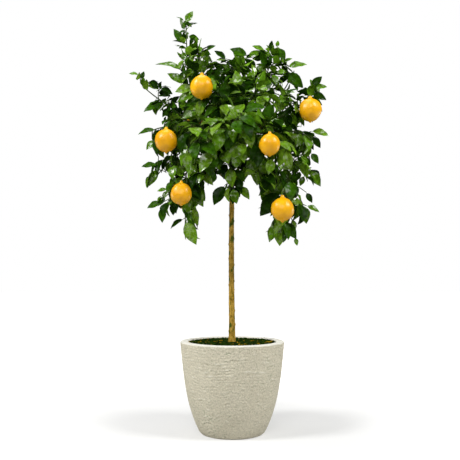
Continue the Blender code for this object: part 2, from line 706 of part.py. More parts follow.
def section(sides, workshop):
    """A guide curve with the cross-section of limbs with this many sides."""
    name = f"section_{sides}"
    if name in bpy.data.objects:
        return bpy.data.objects[name]
    curve = bpy.data.curves.new(name, "CURVE")
    spline = curve.splines.new("POLY")
    spline.points.add(sides - 1)
    for index, point in enumerate(spline.points):
        angle = 2 * math.pi * index / sides
        point.co = (math.cos(angle), math.sin(angle), 0.0, 1.0)
    spline.use_cyclic_u = True
    made = link_object(name, curve, workshop)
    made.hide_render = True
    made.display_type = "WIRE"
    return made


def limb_mesh(name, path, radii, sides, workshop):
    """A tapering limb: a curve through the path with a thickness at each point, made a closed mesh."""
    curve = bpy.data.curves.new(name, "CURVE")
    curve.dimensions = "3D"
    curve.bevel_mode = "OBJECT"
    curve.bevel_object = section(sides, workshop)
    curve.use_fill_caps = True
    spline = curve.splines.new("POLY")
    spline.points.add(len(path) - 1)
    for point, place, radius in zip(spline.points, path, radii):
        point.co = (*place, 1.0)
        point.radius = radius
    drawn = link_object(name, curve, workshop)
    mesh = evaluated_mesh(drawn)
    bpy.data.objects.remove(drawn)
    solid = bmesh.new()
    solid.from_mesh(mesh)
    bmesh.ops.remove_doubles(solid, verts=solid.verts, dist=MERGE)
    return solid_mesh(solid, name)


def fruit_mesh(middle, size):
    """A lemon with a short neck at its stalk and a nipple below."""
    solid = bmesh.new()
    bmesh.ops.create_uvsphere(solid, u_segments=FRUIT_SIDES, v_segments=FRUIT_RINGS, radius=1.0)
    for vert in solid.verts:
        height = vert.co.z
        flat = math.hypot(vert.co.x, vert.co.y)
        radius = fruit_shape(height) * FRUIT_RADIUS * size
        if flat > 0.001:
            vert.co.x *= radius / flat
            vert.co.y *= radius / flat
        vert.co.z = height * FRUIT_LENGTH * size / 2
    bmesh.ops.translate(solid, verts=solid.verts, vec=middle)
    return solid_mesh(solid, "fruit")


def connected_groups(solid):
    """The separate bodies of a bmesh as lists of points, the largest first."""
    seen, groups = set(), []
    for vert in solid.verts:
        if vert in seen:
            continue
        seen.add(vert)
        group = [vert]
        for current in group:
            for edge in current.link_edges:
                other = edge.other_vert(current)
                if other not in seen:
                    seen.add(other)
                    group.append(other)
        groups.append(group)
    return sorted(groups, key=len, reverse=True)


def keep_largest(mesh):
    """Drops loose scraps and the walls of sealed hollows, and says how many points went."""
    solid = bmesh.new()
    solid.from_mesh(mesh)
    dropped = [vert for group in connected_groups(solid)[1:] for vert in group]
    bmesh.ops.delete(solid, geom=dropped, context="VERTS")
    solid.to_mesh(mesh)
    solid.free()
    return len(dropped)


def is_closed(mesh):
    solid = bmesh.new()
    solid.from_mesh(mesh)
    closed = all(edge.is_manifold for edge in solid.edges)
    solid.free()
    return closed


def fused(base, group, solver):
    """The union of a base object with every object of a collection."""
    union = base.modifiers.new("Fuse", "BOOLEAN")
    union.operation = "UNION"
    union.operand_type = "COLLECTION"
    union.collection = group
    union.solver = solver
    joined = evaluated_mesh(base)
    base.modifiers.remove(union)
    return joined


def build_mass(name, plan, group, workshop, look):
    """One mass of foliage as a single fused solid."""
    stem, grown = plan["stems"][name], plan["masses"][name]
    stem_radii = tapered(STEM_RADIUS, STEM_TIP_RADIUS, len(stem))
    base = link_object(name, limb_mesh(name, stem, stem_radii, STEM_SIDES, workshop), group)
    pieces = []
    for twig in grown["twigs"]:
        radii = tapered(TWIG_RADIUS, TWIG_TIP_RADIUS, len(twig))
        pieces.append(limb_mesh("twig", twig, radii, TWIG_SIDES, workshop))
    for middle, size, stalk in plan["fruits"][name]:
        radii = [STALK_RADIUS] * len(stalk)
        pieces.append(limb_mesh("stalk", stalk, radii, TWIG_SIDES, workshop))
        pieces.append(fruit_mesh(middle, size))
    for leaf in grown["leaves"]:
        pieces.append(solid_mesh(leaf_solid(leaf), "leaf"))
    loose = new_collection("loose")
    for mesh in pieces:
        link_object("piece", mesh, loose)
    joined = fused(base, loose, "EXACT")
    if not is_closed(joined):
        joined = fused(base, loose, "MANIFOLD")
    for piece in list(loose.objects):
        bpy.data.objects.remove(piece)
    bpy.data.collections.remove(loose)
    dropped = keep_largest(joined)
    joined.materials.clear()
    joined.materials.append(look)
    base.data = joined
    return dropped


def build_limb(name, limbs, group, workshop, look):
    """The trunk or a bough, cut off just short of the limb that it grows from."""
    path, radii = limbs[name]
    sides = TRUNK_SIDES if name == "trunk" else BOUGH_SIDES
    made = link_object(name, limb_mesh(name, path, radii, sides, workshop), group)
    if name != "trunk":
        parent = BOUGHS[name][0]
        parent_path, parent_radii = limbs[parent]
        parent_sides = TRUNK_SIDES if parent == "trunk" else BOUGH_SIDES
        wider = [radius + CLEAR / math.cos(math.pi / parent_sides) for radius in parent_radii]
        cutter_mesh = limb_mesh("cutter", parent_path, wider, parent_sides, workshop)
        cutter = link_object("cutter", cutter_mesh, workshop)
        cut = made.modifiers.new("Clear", "BOOLEAN")
        cut.operation = "DIFFERENCE"
        cut.object = cutter
        mesh = evaluated_mesh(made)
        made.modifiers.clear()
        bpy.data.objects.remove(cutter)
        keep_largest(mesh)
        made.data = mesh
    made.data.materials.clear()
    made.data.materials.append(look)
    made.data.shade_smooth()
    made.data.set_sharp_from_angle(angle=LIMB_SHARP_ANGLE)


def main():
    for obj in list(bpy.data.objects):
        bpy.data.objects.remove(obj)
    tree = new_collection("potted_meyer_lemon_tree")
    workshop = new_collection("workshop")
    bark = material("bark", (0.32, 0.19, 0.05), 0.7)
    foliage = material("foliage", (0.06, 0.14, 0.02), 0.35)
    build_pot(tree, material("stone_fibre", (0.62, 0.58, 0.47), 0.85))
    build_soil(tree, material("potting_soil", (0.035, 0.045, 0.015), 0.95))
    plan = plan_tree()
    for name in plan["limbs"]:
        build_limb(name, plan["limbs"], tree, workshop, bark)
    for name, grown in plan["masses"].items():
        dropped = build_mass(name, plan, tree, workshop, foliage)
        counts = f"{len(grown['leaves'])} leaves, {len(grown['twigs'])} twigs"
        print(f"{name}: {counts}, {dropped} points dropped")
    for guide in list(workshop.objects):
        bpy.data.objects.remove(guide)
    bpy.data.collections.remove(workshop)


main()
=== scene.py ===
import json
import math
import random

import bpy
import numpy as np
from mathutils import Matrix, Vector, noise
from mathutils.bvhtree import BVHTree
from mathutils.kdtree import KDTree

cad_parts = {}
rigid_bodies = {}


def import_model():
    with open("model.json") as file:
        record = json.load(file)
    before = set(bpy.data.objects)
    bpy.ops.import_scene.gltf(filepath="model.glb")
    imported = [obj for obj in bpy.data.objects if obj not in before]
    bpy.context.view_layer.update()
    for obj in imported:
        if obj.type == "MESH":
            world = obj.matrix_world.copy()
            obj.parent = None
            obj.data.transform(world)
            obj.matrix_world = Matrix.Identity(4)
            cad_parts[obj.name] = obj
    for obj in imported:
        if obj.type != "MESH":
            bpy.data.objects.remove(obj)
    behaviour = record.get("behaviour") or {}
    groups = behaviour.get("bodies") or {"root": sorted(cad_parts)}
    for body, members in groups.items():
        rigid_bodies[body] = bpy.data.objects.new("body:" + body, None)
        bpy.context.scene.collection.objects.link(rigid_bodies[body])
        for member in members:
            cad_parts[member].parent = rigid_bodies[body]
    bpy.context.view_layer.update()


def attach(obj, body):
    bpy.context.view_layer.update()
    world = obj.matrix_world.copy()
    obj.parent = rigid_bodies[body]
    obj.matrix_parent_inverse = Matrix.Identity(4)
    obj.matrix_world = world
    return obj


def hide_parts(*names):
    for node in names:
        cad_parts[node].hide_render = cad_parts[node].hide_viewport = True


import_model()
bpy.context.scene.view_settings.view_transform = "Standard"

# Node helpers: one call adds a node with its settings, its constant inputs and its links.


def addNode(tree, kind, inputs=None, **settings):
    node = tree.nodes.new(kind)
    for key, value in settings.items():
        setattr(node, key, value)
    for socket, value in (inputs or {}).items():
        if isinstance(value, bpy.types.NodeSocket):
            tree.links.new(value, node.inputs[socket])
        else:
            node.inputs[socket].default_value = value
    return node


def mathNode(tree, operation, first, second=0.0, third=0.0):
    return addNode(tree, "ShaderNodeMath", {0: first, 1: second, 2: third}, operation=operation).outputs[0]


def softStep(tree, value, low, high):  # 0 at low, 1 at high
    inputs = {"Value": value, "From Min": low, "From Max": high}
    return addNode(tree, "ShaderNodeMapRange", inputs, interpolation_type="SMOOTHSTEP").outputs["Result"]


def colourRamp(tree, factor, stops):
    ramp = addNode(tree, "ShaderNodeValToRGB", {"Fac": factor})
    elements = ramp.color_ramp.elements
    elements[0].position, elements[0].color = stops[0][0], (*stops[0][1], 1.0)
    elements[-1].position, elements[-1].color = stops[-1][0], (*stops[-1][1], 1.0)
    for place, colour in stops[1:-1]:
        elements.new(place).color = (*colour, 1.0)
    return ramp.outputs["Color"]


def mixColours(tree, factor, first, second, blend="MIX"):
    mix = addNode(tree, "ShaderNodeMix", data_type="RGBA", blend_type=blend)
    for socket, value in ((mix.inputs[0], factor), (mix.inputs[6], first), (mix.inputs[7], second)):
        if isinstance(value, bpy.types.NodeSocket):
            tree.links.new(value, socket)
        else:
            socket.default_value = value if isinstance(value, float) else (*value, 1.0)
    return mix.outputs[2]


def objectPlace(tree, scale=(1.0, 1.0, 1.0)):
    coordinates = addNode(tree, "ShaderNodeTexCoord").outputs["Object"]
    return addNode(tree, "ShaderNodeMapping", {"Vector": coordinates, "Scale": scale}).outputs["Vector"]


def noiseAt(tree, place, scale, detail=2.0, roughness=0.5):
    inputs = {"Vector": place, "Scale": scale, "Detail": detail, "Roughness": roughness}
    return addNode(tree, "ShaderNodeTexNoise", inputs).outputs["Fac"]


def attributeAt(tree, name):
    return addNode(tree, "ShaderNodeAttribute", attribute_name=name).outputs["Fac"]


def heightAt(tree, place):
    return addNode(tree, "ShaderNodeSeparateXYZ", {"Vector": place}).outputs["Z"]


def blotches(tree, factor, low, high, colours):  # from the first colour at low to the second at high
    return colourRamp(tree, factor, ((low, colours[0]), (high, colours[1])))


def startMaterial(name, **sockets):
    made = bpy.data.materials.new(name)
    made.use_nodes = True
    shader = made.node_tree.nodes["Principled BSDF"]
    for socket, value in sockets.items():
        shader.inputs[socket.replace("_", " ")].default_value = value
    return made, made.node_tree, shader


def addBump(tree, shader, height, strength, distance):
    inputs = {"Height": height, "Strength": strength, "Distance": distance}
    bump = addNode(tree, "ShaderNodeBump", inputs)
    tree.links.new(bump.outputs["Normal"], shader.inputs["Normal"])


# Geometry Nodes helpers.


def startNodes(name, inputs):
    tree = bpy.data.node_groups.new(name, "GeometryNodeTree")
    tree.interface.new_socket("Geometry", in_out="INPUT", socket_type="NodeSocketGeometry")
    for label, kind in inputs.items():
        tree.interface.new_socket(label, in_out="INPUT", socket_type="NodeSocket" + kind)
    tree.interface.new_socket("Geometry", in_out="OUTPUT", socket_type="NodeSocketGeometry")
    return tree, tree.nodes.new("NodeGroupInput").outputs


def endNodes(tree, geometry):
    tree.links.new(geometry, tree.nodes.new("NodeGroupOutput").inputs["Geometry"])


def grownBy(tree, base, name, **values):  # a plain mesh piece, made from a base mesh by a node tree
    holder = bpy.data.objects.new(name + "_base", base)
    bpy.context.scene.collection.objects.link(holder)
    modifier = holder.modifiers.new(name, "NODES")
    modifier.node_group = tree
    for item in tree.interface.items_tree:
        if item.in_out == "INPUT" and item.name in values:
            modifier[item.identifier] = values[item.name]
    return plainMesh(holder, name)


def plainMesh(holder, name):
    bpy.context.view_layer.update()
    graph = bpy.context.evaluated_depsgraph_get()
    mesh = bpy.data.meshes.new_from_object(holder.evaluated_get(graph))
    bpy.data.objects.remove(holder)
    return addPiece(name, mesh)


def addPiece(name, mesh):
    mesh.name = name
    piece = bpy.data.objects.new(name, mesh)
    bpy.context.scene.collection.objects.link(piece)
    return piece


def meshFrom(name, points, faces):
    mesh = bpy.data.meshes.new(name)
    mesh.from_pydata([tuple(point) for point in points], [], [tuple(face) for face in faces])
    mesh.update()
    return mesh


def ringFaces(first, rings, around, flip=False):  # faces between rings of points that follow each other
    faces = []
    for ring in range(rings - 1):
        low, high = first + ring * around, first + (ring + 1) * around
        for step in range(around):
            after = (step + 1) % around
            if flip:
                faces.append((low + step, high + step, high + after, low + after))
            else:
                faces.append((low + step, low + after, high + after, high + step))
    return faces


def setAttribute(mesh, name, kind, values, domain="POINT"):
    attribute = mesh.attributes.new(name, kind, domain)
    key = {"FLOAT": "value", "INT": "value", "BOOLEAN": "value", "FLOAT_VECTOR": "vector"}[kind]
    attribute.data.foreach_set(key, np.asarray(values).ravel())


def finishPiece(piece, slot, *nodes):
    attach(piece, "root")
    if nodes:
        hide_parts(*nodes)
    return piece


# The studio: a white room with a light high on each side and a large soft one behind the camera.

studio = {
    "cameraPlace": (-0.0068, -1.93, 0.463),
    "cameraPitch": 4.05,
    "cameraLens": 50.0,
    "aimHeight": 0.75,
    "floorSize": 30.0,
    "floorColour": (0.46, 0.46, 0.455),
    "floorGlow": (0.355, 1.00),
    "floorGlowReach": (0.35, 1.15),
    "floorBounce": 0.20,
    "skyLight": 0.105,
    "lights": {
        "light_left": ((-1.75, -1.00, 2.30), 0.7, 66.0),
        "light_right": ((1.75, -0.95, 2.30), 0.8, 60.0),
        "light_front": ((-0.40, -3.00, 2.20), 1.3, 44.0),
        "light_top": ((-0.30, 0.30, 3.00), 1.0, 18.0),
        "light_edge_left": ((-1.70, 0.70, 0.60), 0.7, 5.0),
        "light_edge_right": ((1.70, 0.80, 0.55), 0.6, 6.0),
    },
}


def buildStudio(s):
    world = bpy.data.worlds.new("studio")
    bpy.context.scene.world = world
    world.use_nodes = True
    tree = world.node_tree
    back = tree.nodes["Background"]
    path = addNode(tree, "ShaderNodeLightPath").outputs
    fill = mathNode(tree, "MULTIPLY", path["Is Diffuse Ray"], s["skyLight"])
    strength = mathNode(tree, "ADD", path["Is Camera Ray"], fill)
    tree.links.new(strength, back.inputs["Strength"])
    back.inputs["Color"].default_value = (1.0, 1.0, 1.0, 1.0)
    for name, (place, size, power) in s["lights"].items():
        data = bpy.data.lights.new(name, "AREA")
        data.size, data.energy = size, power
        light = bpy.data.objects.new(name, data)
        light.location = place
        aim = Vector((0.0, 0.0, s["aimHeight"])) - Vector(place)
        light.rotation_euler = aim.to_track_quat("-Z", "Y").to_euler()
        bpy.context.scene.collection.objects.link(light)
    half = s["floorSize"] / 2
    corners = [(-half, -half, 0.0), (half, -half, 0.0), (half, half, 0.0), (-half, half, 0.0)]
    paint, tree, shader = startMaterial("floor_paint", Base_Color=(*s["floorColour"], 1.0), Roughness=0.9,
                                        Emission_Color=(1.0, 1.0, 0.99, 1.0))
    away = addNode(tree, "ShaderNodeVectorMath", {0: objectPlace(tree)}, operation="LENGTH")
    glow = softStep(tree, away.outputs["Value"], *s["floorGlowReach"])
    near, far = s["floorGlow"]
    glow = mathNode(tree, "MULTIPLY_ADD", glow, far - near, near)
    path = addNode(tree, "ShaderNodeLightPath").outputs
    bounce = mathNode(tree, "MULTIPLY", path["Is Diffuse Ray"], s["floorBounce"])
    glow = mathNode(tree, "MULTIPLY_ADD", glow, path["Is Camera Ray"], bounce)
    tree.links.new(glow, shader.inputs["Emission Strength"])
    floor = addPiece("floor", meshFrom("floor", corners, [(0, 1, 2, 3)]))
    floor.data.materials.append(paint)
    data = bpy.data.cameras.new("camera")
    data.lens, data.sensor_width = s["cameraLens"], 36.0
    camera = bpy.data.objects.new("camera", data)
    camera.location = s["cameraPlace"]
    camera.rotation_euler = (math.radians(90.0 + s["cameraPitch"]), 0.0, 0.0)
    bpy.context.scene.collection.objects.link(camera)
    bpy.context.scene.camera = camera


buildStudio(studio)
print("studio is up")

# The pot: cast stone, turned, with tooled ridges that run round it, fine grain and small pits.

pot = {
    "height": 0.2675,
    "rimRadius": 0.155,
    "baseRadius": 0.0926,
    "swell": 0.0160,
    "swellSkew": 0.72,
    "wall": 0.024,
    "edge": 0.0036,
    "around": 480,
    "wallRings": 174,
    "edgeRings": 5,
    "insideDepth": 0.012,
    "insideRings": 4,
    "ridgeHeight": 0.0009,
    "grainHeight": 0.0009,
    "pitDepth": 0.0008,
    "strokes": 690.0,  # of the tool, as radians to a metre of height
    "evenStrokes": 0.46,
    "unevenStrokes": 0.85,
    "stoneColours": ((0.506, 0.469, 0.362), (0.540, 0.505, 0.397)),
    "grainColours": ((0.80, 0.80, 0.79), (1.17, 1.17, 1.16)),
    # painted shade for the hollows between the tooled ridges and a painted highlight for their crests
    "shadedHollowColour": (0.350, 0.322, 0.240),
    "litCrestColour": (0.665, 0.640, 0.540),
    "pitColour": (0.26, 0.29, 0.20),
    # painted highlight on the rim's top face
    "rimHighlightColour": (0.66, 0.655, 0.60),
}


def potRadius(height):
    share = height / pot["height"]
    flare = pot["baseRadius"] + (pot["rimRadius"] - pot["baseRadius"]) * share
    return flare + pot["swell"] * math.sin(math.pi * min(1.0, share) ** pot["swellSkew"])


def potProfile():  # radius and height of points up the outer wall, over the rim and down the inside
    height, edge = pot["height"], pot["edge"]
    wall = [edge + (height - 2 * edge) * ring / pot["wallRings"] for ring in range(pot["wallRings"] + 1)]
    quarter = [math.pi / 2 * ring / pot["edgeRings"] for ring in range(pot["edgeRings"] + 1)]
    foot, top = potRadius(0.0), height - edge
    outside, inside = potRadius(top), potRadius(top) - pot["wall"]
    points = [(foot - edge * 0.6 * (1 - math.sin(turn)), edge * (1 - math.cos(turn))) for turn in quarter]
    points = points[:-1] + [(potRadius(z), z) for z in wall]
    points += [(outside - edge * (1 - math.cos(turn)), top + edge * math.sin(turn)) for turn in quarter[1:]]
    points += [(inside + edge * (1 - math.sin(turn)), top + edge * math.cos(turn)) for turn in quarter]
    for ring in range(1, pot["insideRings"] + 1):
        z = top - pot["insideDepth"] * ring / pot["insideRings"]
        points.append((potRadius(z) - pot["wall"], z))
    return points


# How far the stone stands proud at a place, and from 0 to 1, how deep in a pit and how high on a ridge it is.
def stoneRelief(place):
    around, z = place.normalized(), place.z
    wander = noise.noise(Vector((around.x * 5.0, around.y * 5.0, z * 16.0))) * 0.007
    wander += noise.noise(Vector((around.x * 18.0, around.y * 18.0, z * 70.0))) * 0.0034
    strokes = math.sin((z + wander) * pot["strokes"]) * pot["evenStrokes"]
    broken = noise.noise(Vector((around.x * 15.0, around.y * 15.0, (z + wander) * 190.0)))
    strokes += broken * pot["unevenStrokes"]
    patches = 0.45 + 1.1 * noise.noise(Vector((around.x * 8.0, around.y * 8.0 + 3.0, z * 50.0)))
    ridges = strokes * max(0.22, min(0.75, patches))
    grain = noise.noise(place * 230.0) * 0.75 + noise.noise(place * 430.0) * 0.65
    wearAndRimHighlight = noise.noise(place * 9.0 + Vector((2.0, 6.0, 1.0)))
    speck = noise.noise(place * 260.0 + Vector((5.0, 2.0, 9.0)))
    pit = max(0.0, min(1.0, (speck + 0.30 * wearAndRimHighlight - 0.42) * 6.0))
    proud = pot["ridgeHeight"] * ridges + pot["grainHeight"] * grain - pot["pitDepth"] * pit
    return proud, pit, max(0.0, min(1.0, 0.5 + ridges * 0.55 + grain * 0.22))


def buildPot():
    profile = potProfile()
    points, pits, ridges = [], [], []
    for radius, height in profile:
        smooth = 0.3 if height > pot["height"] - pot["edge"] * 0.9 else 1.0
        for step in range(pot["around"]):
            angle = 2 * math.pi * step / pot["around"]
            place = Vector((radius * math.cos(angle), radius * math.sin(angle), height))
            proud, pit, ridge = stoneRelief(place)
            place.x += math.cos(angle) * proud * smooth
            place.y += math.sin(angle) * proud * smooth
            points.append(place)
            pits.append(pit)
            ridges.append(ridge)
    faces = ringFaces(0, len(profile), pot["around"])
    faces.append(tuple(reversed(range(pot["around"]))))
    mesh = meshFrom("pot_shell", points, faces)
    mesh.shade_smooth()
    mesh.set_sharp_from_angle(angle=math.radians(70))
    setAttribute(mesh, "pits", "FLOAT", pits)
    setAttribute(mesh, "ridges", "FLOAT", ridges)
    made, tree, shader = startMaterial("cast_stone", Roughness=0.9, Specular_IOR_Level=0.25)
    place = objectPlace(tree)
    colour = blotches(tree, noiseAt(tree, place, 14.0, 3.0), 0.25, 0.75, pot["stoneColours"])
    grain = blotches(tree, noiseAt(tree, place, 290.0, 2.0), 0.3, 0.7, pot["grainColours"])
    colour = mixColours(tree, 1.0, colour, grain, "MULTIPLY")
    ridge = attributeAt(tree, "ridges")
    # painted shade in the hollows between the tooled ridges and a painted highlight on their crests, as light
    # from above falls on them
    colour = mixColours(tree, softStep(tree, ridge, 0.42, 0.0), colour, pot["shadedHollowColour"])
    colour = mixColours(tree, softStep(tree, ridge, 0.58, 1.0), colour, pot["litCrestColour"])
    pit = mathNode(tree, "MULTIPLY", attributeAt(tree, "pits"), 0.7)
    colour = mixColours(tree, pit, colour, pot["pitColour"])
    # painted highlight: the stone grows paler towards the rim's top face, where light from above falls on it
    wearAndRimHighlight = softStep(tree, heightAt(tree, place), pot["height"] - 0.0040, pot["height"] - 0.0008)
    colour = mixColours(tree, mathNode(tree, "MULTIPLY", wearAndRimHighlight, 0.8), colour, pot["rimHighlightColour"])
    tree.links.new(colour, shader.inputs["Base Color"])
    addBump(tree, shader, noiseAt(tree, place, 500.0, 3.0), 0.8, 0.0012)
    mesh.materials.append(made)
    return finishPiece(addPiece("pot_shell", mesh), "pot_stone", "pot")


buildPot()
print("pot is cast")

# The potting soil: dark damp mulch with slivers of bark scattered over it.

soil = {
    "radius": 0.1325,
    "edgeHeight": 0.2630,
    "topHeight": 0.2645,
    "rings": 44,
    "around": 150,
    "lump": 0.0026,
    "mulchColours": ((0.0010, 0.0035, 0.0001), (0.006, 0.018, 0.0003), (0.016, 0.042, 0.0008)),
    # how many there are, the seed, the length, width and thickness of each shape, and two colours
    "chips": {
        "mulch_chips": (1700, 11, ((0.008, 0.004, 0.0015), (0.006, 0.003, 0.0020)),
                        ((0.0015, 0.006, 0.0001), (0.016, 0.042, 0.0008))),
        "bark_slivers": (95, 29, ((0.021, 0.0022, 0.0012), (0.012, 0.0030, 0.0014)),
                         ((0.15, 0.080, 0.002), (0.44, 0.25, 0.010))),
    },
    "chipScale": (0.5, 1.15),
}


def buildSoil():
    points, faces = [Vector((0.0, 0.0, soil["topHeight"]))], []
    for ring in range(1, soil["rings"] + 1):
        share = ring / soil["rings"]
        for step in range(soil["around"]):
            angle = 2 * math.pi * step / soil["around"]
            x, y = soil["radius"] * share * math.cos(angle), soil["radius"] * share * math.sin(angle)
            z = soil["topHeight"] + (soil["edgeHeight"] - soil["topHeight"]) * share ** 1.5
            lump = noise.noise(Vector((x, y, 0.0)) * 90.0) + 0.6 * noise.noise(Vector((x, y, 4.0)) * 260.0)
            points.append(Vector((x, y, z + soil["lump"] * lump)))
    count = soil["around"]
    for step in range(count):
        faces.append((0, 1 + step, 1 + (step + 1) % count))
    faces += ringFaces(1, soil["rings"], count, flip=True)
    mesh = meshFrom("soil_top", points, faces)
    mesh.shade_smooth()
    made, tree, shader = startMaterial("damp_mulch", Roughness=0.9, Specular_IOR_Level=0.04)
    place = objectPlace(tree)
    stops = tuple(zip((0.3, 0.55, 0.72), soil["mulchColours"]))
    clumps = colourRamp(tree, noiseAt(tree, place, 75.0, 4.0), stops)
    tree.links.new(clumps, shader.inputs["Base Color"])
    addBump(tree, shader, noiseAt(tree, place, 500.0, 3.0), 0.8, 0.0015)
    mesh.materials.append(made)
    return finishPiece(addPiece("soil_top", mesh), "potting_mix", "soil")


def chipShape(name, length, width, thickness):  # a splinter of bark: a bent box with cut ends
    points = []
    for share, wide, lift in ((0.0, 0.45, 0.0), (0.35, 1.0, 0.18), (0.75, 0.85, 0.12), (1.0, 0.3, -0.1)):
        x, z = (share - 0.5) * length, lift * thickness * 2
        for side, up in ((-1, -1), (1, -1), (1, 1), (-1, 1)):
            points.append((x, side * wide * width / 2, z + up * thickness / 2))
    return meshFrom(name, points, [(3, 2, 1, 0), (12, 13, 14, 15)] + ringFaces(0, 4, 4))


def chipNodes():
    tree, inputs = startNodes("Scatter chips", {
        "Chips": "Collection", "Count": "Float", "Smallest": "Float", "Largest": "Float",
        "Seed": "Int", "Material": "Material"})
    spread = addNode(tree, "GeometryNodeDistributePointsOnFaces", {
        "Mesh": inputs["Geometry"], "Density": inputs["Count"], "Seed": inputs["Seed"]})
    shapes = addNode(tree, "GeometryNodeCollectionInfo", {
        "Collection": inputs["Chips"], "Separate Children": True, "Reset Children": True})
    turn = addNode(tree, "FunctionNodeRandomValue", {
        0: (-0.45, -0.45, 0.0), 1: (0.45, 0.45, 6.28), "Seed": inputs["Seed"]}, data_type="FLOAT_VECTOR")
    size = addNode(tree, "FunctionNodeRandomValue", {
        2: inputs["Smallest"], 3: inputs["Largest"], "Seed": inputs["Seed"]}, data_type="FLOAT")
    placed = addNode(tree, "GeometryNodeInstanceOnPoints", {
        "Points": spread.outputs["Points"], "Instance": shapes.outputs["Instances"],
        "Pick Instance": True, "Rotation": turn.outputs[0], "Scale": size.outputs[1]})
    real = addNode(tree, "GeometryNodeRealizeInstances", {"Geometry": placed.outputs["Instances"]})
    painted = addNode(tree, "GeometryNodeSetMaterial", {
        "Geometry": real.outputs["Geometry"], "Material": inputs["Material"]})
    endNodes(tree, painted.outputs["Geometry"])
    return tree


def scatterChips(top):
    area = math.pi * soil["radius"] ** 2
    tree = chipNodes()
    smallest, largest = soil["chipScale"]
    for name, (count, seed, shapes, colours) in soil["chips"].items():
        store = bpy.data.collections.new(name + "_shapes")
        for index, size in enumerate(shapes):
            store.objects.link(bpy.data.objects.new(f"{name}_{index}", chipShape(name, *size)))
        made, shading, shader = startMaterial(name + "_bark", Roughness=0.85, Specular_IOR_Level=0.05)
        place = objectPlace(shading)
        colour = blotches(shading, noiseAt(shading, place, 60.0), 0.35, 0.65, colours)
        shading.links.new(colour, shader.inputs["Base Color"])
        addBump(shading, shader, noiseAt(shading, place, 900.0), 0.6, 0.0004)
        piece = grownBy(tree, top.data.copy(), name, Chips=store, Count=count / area,
                        Smallest=smallest, Largest=largest, Seed=seed, Material=made)
        finishPiece(piece, "potting_mix")
        for shape in list(store.objects):
            bpy.data.objects.remove(shape)


scatterChips(buildSoil())
print("soil is filled in")

# The tree's plan. Limbs, masses and lemons are at the sizes and places of the frame's own.

trunk = {
    # height of each ring above the floor, its wander to the side, and its radius
    "rings": (
        (0.2648, -0.0012, 0.0118),
        (0.276, -0.0010, 0.0102),
        (0.320, -0.0008, 0.0092),
        (0.420, -0.0020, 0.0084),
        (0.560, -0.0025, 0.0079),
        (0.690, -0.0014, 0.0073),
        (0.800, 0.0000, 0.0064),
        (0.880, 0.0012, 0.0052),
        (0.935, 0.0000, 0.0036),
    ),
}

boughs = {
    # what bears it, where on that (a height on the trunk, a share of a bough), its tip, and its radius at
    # its foot and its tip
    "bough_left_drooping": ("trunk", 0.742, (-0.110, -0.055, 0.790), 0.0044, 0.0028),
    "bough_right_drooping": ("trunk", 0.750, (0.120, -0.050, 0.792), 0.0044, 0.0028),
    "bough_front_low": ("trunk", 0.762, (-0.004, -0.040, 0.795), 0.0036, 0.0026),
    "bough_left_low": ("trunk", 0.772, (-0.130, -0.020, 0.835), 0.0042, 0.0027),
    "bough_right_side": ("trunk", 0.785, (0.140, -0.012, 0.895), 0.0044, 0.0028),
    "bough_front_left": ("trunk", 0.784, (-0.050, -0.070, 0.861), 0.0040, 0.0027),
    "bough_front_right": ("trunk", 0.797, (0.050, -0.075, 0.868), 0.0040, 0.0027),
    "bough_back_left": ("trunk", 0.756, (-0.083, 0.070, 0.920), 0.0044, 0.0028),
    "bough_back_right": ("trunk", 0.764, (0.082, 0.070, 0.920), 0.0044, 0.0028),
    "bough_left_arm": ("trunk", 0.806, (-0.165, 0.000, 0.958), 0.0046, 0.0027),
    "bough_right_shoulder": ("trunk", 0.826, (0.130, 0.015, 0.990), 0.0046, 0.0027),
    "bough_front_middle": ("trunk", 0.826, (-0.004, -0.065, 0.875), 0.0038, 0.0027),
    "bough_back_middle": ("trunk", 0.830, (-0.004, 0.070, 0.930), 0.0040, 0.0028),
    "bough_left_spire": ("trunk", 0.850, (-0.122, 0.000, 1.030), 0.0044, 0.0027),
    "bough_right_top": ("trunk", 0.868, (0.085, 0.000, 1.020), 0.0042, 0.0027),
    "bough_left_high": ("trunk", 0.880, (-0.031, -0.045, 0.945), 0.0034, 0.0026),
    "bough_right_high": ("trunk", 0.892, (0.040, -0.045, 0.950), 0.0034, 0.0026),
    "bough_back_top": ("trunk", 0.905, (0.010, 0.045, 0.985), 0.0032, 0.0026),
    "bough_left_top": ("bough_left_spire", 0.45, (-0.070, -0.034, 0.980), 0.0032, 0.0026),
    "bough_left_side": ("bough_left_arm", 0.50, (-0.132, -0.040, 0.905), 0.0034, 0.0026),
    "bough_left_under": ("bough_front_left", 0.55, (-0.058, -0.070, 0.815), 0.0032, 0.0025),
    "bough_right_under": ("bough_front_right", 0.55, (0.056, -0.070, 0.815), 0.0032, 0.0025),
    "bough_right_arm": ("bough_right_shoulder", 0.50, (0.150, -0.020, 0.945), 0.0036, 0.0026),
    "bough_right_low": ("bough_right_side", 0.50, (0.140, 0.004, 0.835), 0.0034, 0.0026),
    "bough_back_left_low": ("bough_back_left", 0.45, (-0.082, 0.062, 0.815), 0.0036, 0.0026),
    "bough_back_right_low": ("bough_back_right", 0.45, (0.084, 0.062, 0.815), 0.0036, 0.0026),
}

